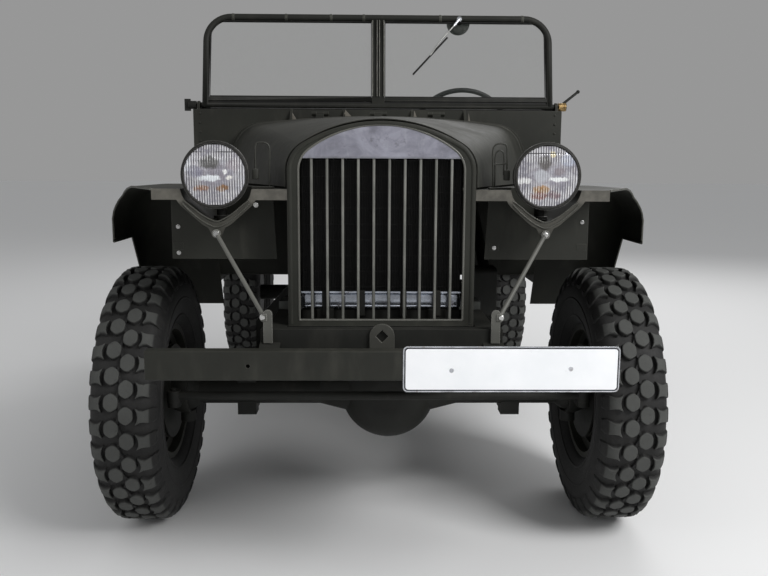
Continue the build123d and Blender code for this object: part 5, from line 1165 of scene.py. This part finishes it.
boss = [(0.0, 0.0), (0.010, 0.0), (0.010, 0.006), (0.006, 0.009), (0.0, 0.009)]
tube(arm, [on_screen(pivot_x, pivot_up, -0.014), on_screen(pivot_x, pivot_up, 0.017)], 0.0055, 12)
disc_ring(arm, on_screen(pivot_x, pivot_up, 0.0085), screen_out, boss, 16)
tube(arm, [on_screen(pivot_x, pivot_up, 0.014), on_screen(0.286, 0.306, 0.0150)], 0.0050, 8)
add_piece("wiper_arm_root", arm, silver, "windscreen")
rod = bmesh.new()
bends = ((0.289, 0.309, 0.0150), (0.238, 0.251, 0.0150), (0.197, 0.193, 0.0130))
tube(rod, [on_screen(*bend) for bend in bends], 0.0024, 8)
add_piece("wiper_arm", rod, bolt_steel, "windscreen")
blade = bmesh.new()
for out, radius, sides in ((0.0105, 0.0034, 8), (0.0065, 0.0030, 6)):
    tube(blade, [on_screen(*end, out) for end in blade_ends], radius, sides)
add_piece("wiper_blade", blade, rubber_seal, "windscreen")

# Rubber on the cowl's top under the hinge tube: lower and then behind it where the tube's feet swing
cowl_top = 1.3335
seal = bmesh.new()
soft_block(seal, (-0.633, screen_y - 0.004, cowl_top), (0.633, screen_y + 0.010, 1.3385), 0.0015, 1)
for x in (-0.652, 0.652):
    low = (x - 0.018, screen_y - 0.004, cowl_top)
    soft_block(seal, low, (x + 0.018, screen_y + 0.010, 1.3358), 0.0008, 1)
    low = (x - 0.030, screen_y + 0.0135, cowl_top)
    soft_block(seal, low, (x + 0.018, screen_y + 0.0165, 1.3450), 0.0008, 1)
add_piece("screen_foot_seal", seal, rubber_seal, "chassis")

# The flap on the screen's foot, and the beads along its middle post
flap = bmesh.new()
soft_block(flap, (-0.640, -0.0025, 0.008), (0.640, 0.0025, 0.022), 0.0008, 1)
turn_mesh(flap, -screen_rake, "X")
shift_mesh(flap, (0, screen_y, screen_z))
add_piece("screen_flap", flap, rubber_seal, "windscreen")
groove = bmesh.new()
for half, out, radius in ((0.0045, 0.0128, 0.0022), (0.0215, 0.0120, 0.0026)):
    for x in (-half, half):
        tube(groove, [on_screen(x, 0.034, out), on_screen(x, 0.326, out)], radius, 6)
add_piece("screen_post_beads", groove, edge_paint, "windscreen")

# Gussets between the bonnet's rear edge and the cowl: foot and apex, then the foot's other end
gusset_y = at(0.532)
gusset_thickness = 0.003
gusset_corners = [
    ((-0.327, 1.268), (-0.321, 1.321), (-0.288, 1.268)), ((-0.135, 1.296), (-0.122, 1.331), (-0.090, 1.297)),
    ((0.132, 1.290), (0.135, 1.331), (0.151, 1.290)), ((0.338, 1.264), (0.339, 1.321), (0.352, 1.264)),
]
gussets = bmesh.new()
for corners in gusset_corners:
    sheet = bmesh.new()
    face = sheet.faces.new([sheet.verts.new((x, gusset_y, z)) for x, z in corners])
    raise_faces(sheet, [face], (0, -gusset_thickness, 0))
    join(gussets, sheet)
add_piece("cowl_gussets", gussets, gusset_paint, "chassis")

# The brass clamp's ridged barrel
ridge_count = 7
ridge_pitch = 0.0040
ridges = [(0.0, -0.0005)]
for i in range(ridge_count):
    start = ridge_pitch * i
    ridges += [(0.0158, start), (0.0158, start + 0.0028), (0.0148, start + 0.0034)]
ridges += [(0.0, 0.0292)]
place = (0.6835, screen_y, screen_z)
turned_piece("clamp_barrel", place, leftward, ridges, 28, brass, "windscreen")

# Instruments, switches, horn button and tail lamp glass
dial_y = at(0.6407)
dial_z = 1.262
dial_rim = ((0.86, 0.0), (0.88, 0.0035), (0.95, 0.0050), (1.03, 0.0030), (1.04, -0.001))
for i, (x, radius) in enumerate(((0.0, 0.042), (0.105, 0.030), (-0.105, 0.030), (-0.185, 0.030))):
    middle = (x, dial_y, dial_z)
    length = 0.62 * radius
    face = [(0.0, 0.0004), (0.88 * radius, 0.0004)]
    turned_piece(f"dial_{i}", middle, rearward, face, 32, dial_face, "chassis")
    rim = bmesh.new()
    disc_ring(rim, middle, rearward, [(share * radius, height) for share, height in dial_rim], 32)
    needle = radians(130 - 40 * i)
    tip = (x + length * cos(needle), dial_y + 0.0012, dial_z + length * sin(needle))
    tube(rim, [(x, dial_y + 0.0012, dial_z), tip], 0.0007, 5)
    add_piece(f"dial_rim_{i}", rim, silver, "chassis")
switches = bmesh.new()
profile = [(0.009, -0.008), (0.009, -0.004), (0.005, -0.003), (0.005, 0.008), (0.009, 0.010)]
profile += [(0.009, 0.015), (0.0, 0.017)]
switch_places = [(0.175, 1.285), (0.175, 1.240), (0.235, dial_z)]
switch_places += [(-0.250, dial_z), (-0.300, dial_z), (0.0, 1.204)]
for x, z in switch_places:
    disc_ring(switches, (x, dial_y, z), rearward, profile, 16)
add_piece("panel_switches", switches, rubber_seal, "chassis")
column_axis = (0, cos(radians(30)), sin(radians(30)))
button_place = Vector((0.350, at(0.930), 1.266)) + 0.0115 * Vector(column_axis)
profile = [(0.030, 0.0), (0.030, 0.004), (0.022, 0.010), (0.018, 0.011), (0.016, 0.014), (0.0, 0.016)]
turned_piece(
    "horn_button", button_place, column_axis, profile, 28, bezel_paint, "steering_wheel"
)
profile = [(0.027, 0.0), (0.026, 0.004), (0.020, 0.009), (0.010, 0.0115), (0.0, 0.012)]
place = (0.560, at(2.4825), 1.040)
turned_piece("tail_glass", place, rearward, profile, 28, tail_red, "chassis")
profile = [(0.026, 0.0), (0.027, 0.003), (0.031, 0.003), (0.0325, 0.0)]
place = (0.560, at(2.482), 1.040)
turned_piece("tail_rim", place, rearward, profile, 28, bezel_paint, "chassis")


# Cushions: blocks that a cloth simulation swells, then sewn channels and piping
cushion_voxel = 0.006
cushion_shrink = 0.011
cushion_corner = 0.020
cushion_waist = 0.013
cushion_cap = 0.026
channel_depth = 0.0075
channel_width = 0.0065
channel_border = 0.048
piping_radius = 0.0038
piping_levels = (0.16, 0.80)
piping_points = 128
swell_frames = 20

# Each kind: width, depth and thickness, and how many sewn channels run along its depth
cushion_kinds = {
    "front_seat": ((0.450, 0.400, 0.110), 4),
    "front_back": ((0.440, 0.330, 0.080), 4),
    "bench_seat": ((0.562, 0.400, 0.110), 5),
    "bench_back": ((0.562, 0.260, 0.080), 5),
}
back_lean = radians(12)
# Each cushion: kind, middle of its resting face, and the lean of its upright; None lies flat
cushion_places = [
    ("front_seat", (0.340, 0.295, 0.8983), None),
    ("front_back", (0.340, 0.5643, 1.1811), back_lean),
    ("bench_seat", (0.285, 1.175, 0.8803), None),
    ("bench_back", (0.285, 1.4522, 1.128), 0.0),
]


def mesh_of(block):
    """The object's mesh with its modifiers applied; the object goes."""
    graph = bpy.context.evaluated_depsgraph_get()
    data = bpy.data.meshes.new_from_object(block.evaluated_get(graph))
    bpy.data.objects.remove(block)
    return data


def start_block(size):
    """A dense, even block a little smaller than its cushion, its sides pulled in between the corners."""
    half_x, half_y = size[0] / 2 - cushion_shrink, size[1] / 2 - cushion_shrink
    block = bmesh.new()
    soft_block(block, (-half_x, -half_y, 0.0), (half_x, half_y, size[2] - cushion_shrink), cushion_corner, 4)
    made = linked("block", mesh_data("block", block))
    remesh = made.modifiers.new("even", "REMESH")
    remesh.mode = "VOXEL"
    remesh.voxel_size = cushion_voxel
    data = mesh_of(made)
    for vert in data.vertices:
        along_x, along_y = vert.co.x / half_x, vert.co.y / half_y
        vert.co.x -= cushion_waist * along_x * (1 - along_y**2)
        vert.co.y -= cushion_waist * along_y * (1 - along_x**2)
    return data


def swollen(data):
    """The block after a cloth simulation under pressure, its resting face held."""
    made = linked("block", data)
    begin = [vert.co.copy() for vert in data.vertices]
    held = made.vertex_groups.new(name="held")
    held.add([vert.index for vert in data.vertices if vert.co.z < 0.003], 1.0, "REPLACE")
    cloth = made.modifiers.new("cloth", "CLOTH")
    cloth.settings.quality = 6
    cloth.settings.use_pressure = True
    cloth.settings.uniform_pressure_force = 4.0
    cloth.settings.vertex_group_mass = "held"
    cloth.settings.effector_weights.gravity = 0.0
    cloth.collision_settings.use_collision = False
    cloth.point_cache.frame_start = 1
    cloth.point_cache.frame_end = swell_frames
    for frame_number in range(1, swell_frames + 1):
        bpy.context.scene.frame_set(frame_number)
    data = mesh_of(made)
    for vert, first in zip(data.vertices, begin):
        move = vert.co - first
        if move.length > cushion_cap:
            move *= cushion_cap / move.length
        vert.co = first + move
        vert.co.z = max(vert.co.z, 0.0)
    bpy.context.scene.frame_set(1)
    return data


def cushion_mesh(size, channels):
    """One cushion on its resting face, its crowned face up."""
    data = start_block(size)
    data = swollen(data)
    made = linked("block", data)
    finer = made.modifiers.new("finer", "SUBSURF")
    finer.levels = 1
    data = mesh_of(made)
    half_x, half_y = size[0] / 2 - channel_border, size[1] / 2 - channel_border
    lines = [-half_x + 2 * half_x * (i + 1) / (channels + 1) for i in range(channels)]
    for vert in data.vertices:
        x, y, z = vert.co
        if z < 0.6 * size[2]:
            continue
        border = max(abs(x) - half_x, abs(y) - half_y)
        nearest = [abs(border)]
        if border < 0:
            nearest += [abs(x - line) for line in lines]
        vert.co.z -= channel_depth * exp(-((min(nearest) / channel_width) ** 2))
    pad = bmesh.new()
    pad.from_mesh(data)
    bpy.data.meshes.remove(data)
    return pad


def piping_mesh(pad, size):
    """The two cords sewn round the cushion's edges, laid on its surface."""
    surface = BVHTree.FromBMesh(pad)
    cord = bmesh.new()
    for level in piping_levels:
        height = level * size[2]
        path = []
        for i in range(piping_points):
            turn = 2 * pi * i / piping_points
            outward = Vector((cos(turn) * size[0], sin(turn) * size[1], 0)).normalized()
            start = Vector((0, 0, height)) + outward
            hit = surface.ray_cast(start, -outward)[0]
            if hit is not None:
                path.append(hit + 0.0012 * outward)
        tube(cord, path, piping_radius, 6, True)
    return cord


for kind, place, lean in cushion_places:
    size, channels = cushion_kinds[kind]
    pad = cushion_mesh(size, channels)
    cord = piping_mesh(pad, size)
    for side_name, side in (("left", 1), ("right", -1)):
        for part, mesh, finish in (("cushion", pad, canvas), ("piping", cord, piping)):
            copy = mesh.copy()
            if lean is not None:
                turn_mesh(copy, pi / 2 - lean, "X")
            if side < 0:
                scale_mesh(copy, (-1, 1, 1))
            shift_mesh(copy, (side * place[0], place[1], place[2]))
            piece = add_piece(f"{kind}_{part}_{side_name}", copy, finish, "chassis", 180)
            if part == "cushion":
                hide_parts("seat_cushions")
    pad.free()
    cord.free()


# The finish of each CAD node that stays in the picture
node_finishes = {
    fender_paint: ["front_fenders"],
    body_paint: [
        "bonnet", "cowl", "body_sides", "rear_panel", "wheel_boxes", "body_floor", "radiator_shell",
        "front_bumper", "instrument_panel", "rear_bench", "spare_carrier", "rim_front_left",
        "rim_front_right", "rim_rear_left", "rim_rear_right", "spare_rim", "seat_frames", "gearbox_hump",
        "toe_board",
    ],
    bezel_paint: ["headlamps"],
    wheel_black: ["steering_wheel"],
    canvas: ["seat_cushions"],
    brace_paint: ["fender_braces"],
    guide_paint: ["crank_guide"],
    grille_metal: ["grille"],
    shaded_screen_paint: ["windscreen_frame"],
    chassis_paint: [
        "frame", "spring_hangers", "springs", "front_axle", "rear_axle", "knuckle_left", "knuckle_right",
        "tie_rod", "propeller_shafts", "tow_hitch", "screen_clamps", "wiper", "pedals_and_levers",
        "steering_column", "tail_lamp",
    ],
    engine_metal: ["engine", "gearbox"],
    tank_metal: ["radiator"],
    exhaust_metal: ["exhaust"],
    window_glass: ["windscreen_glass", "headlamp_lenses"],
    enamel: ["number_plate"],
    rubber: ["tyre_front_left", "tyre_front_right", "tyre_rear_left", "tyre_rear_right", "spare_tyre"],
}
for finish, names in node_finishes.items():
    for name in names:
        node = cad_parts[name]
        node.data.materials.clear()
        node.data.materials.append(finish)


# Floor, lights and world
floor_grey = 0.85
backdrop_grey = 0.31


def studio_floor():
    """A plain pale floor that also reads as the backdrop."""
    mesh = bmesh.new()
    bmesh.ops.create_grid(mesh, x_segments=1, y_segments=1, size=60.0)
    data = mesh_data("floor", mesh)
    floor = linked("floor", data)
    finish = Finish("floor_paint")
    finish.set(base_color=(floor_grey, floor_grey, floor_grey), roughness=0.75)
    data.materials.append(finish.material)


def area_light(name, place, aim, size, power):
    data = bpy.data.lights.new(name, "AREA")
    data.shape = "RECTANGLE"
    data.size, data.size_y = size
    data.energy = power
    lamp = linked(name, data)
    lamp.location = place
    lamp.rotation_euler = (Vector(aim) - Vector(place)).to_track_quat("-Z", "Y").to_euler()


studio_floor()
area_light("key_light", (3.3, -4.0, 3.8), (0.1, -0.9, 0.8), (2.2, 2.2), 215)
area_light("fill_light", (-4.2, -3.4, 2.6), (0.0, -0.8, 0.7), (2.5, 2.5), 30)
area_light("back_light", (2.2, 4.6, 4.4), (0.4, 0.4, 0.9), (4.0, 2.0), 120)

# The world lights the car, and shows as plain grey to the camera and in metal and glass
world = bpy.data.worlds.new("studio")
world.use_nodes = True
nodes = world.node_tree.nodes
links = world.node_tree.links
lit = nodes["Background"]
lit.inputs["Color"].default_value = (0.86, 0.87, 0.88, 1.0)
lit.inputs["Strength"].default_value = 0.42
seen = nodes.new("ShaderNodeBackground")
seen.inputs["Color"].default_value = (backdrop_grey, backdrop_grey, backdrop_grey, 1.0)
rays = nodes.new("ShaderNodeLightPath")
either = nodes.new("ShaderNodeMixShader")
factor = rays.outputs["Is Camera Ray"]
for kind in ("Is Glossy Ray", "Is Transmission Ray"):
    most = nodes.new("ShaderNodeMath")
    most.operation = "MAXIMUM"
    links.new(factor, most.inputs[0])
    links.new(rays.outputs[kind], most.inputs[1])
    factor = most.outputs[0]
links.new(factor, either.inputs[0])
links.new(lit.outputs[0], either.inputs[1])
links.new(seen.outputs[0], either.inputs[2])
links.new(either.outputs[0], nodes["World Output"].inputs[0])
bpy.context.scene.world = world
bpy.context.scene.view_settings.view_transform = "Standard"
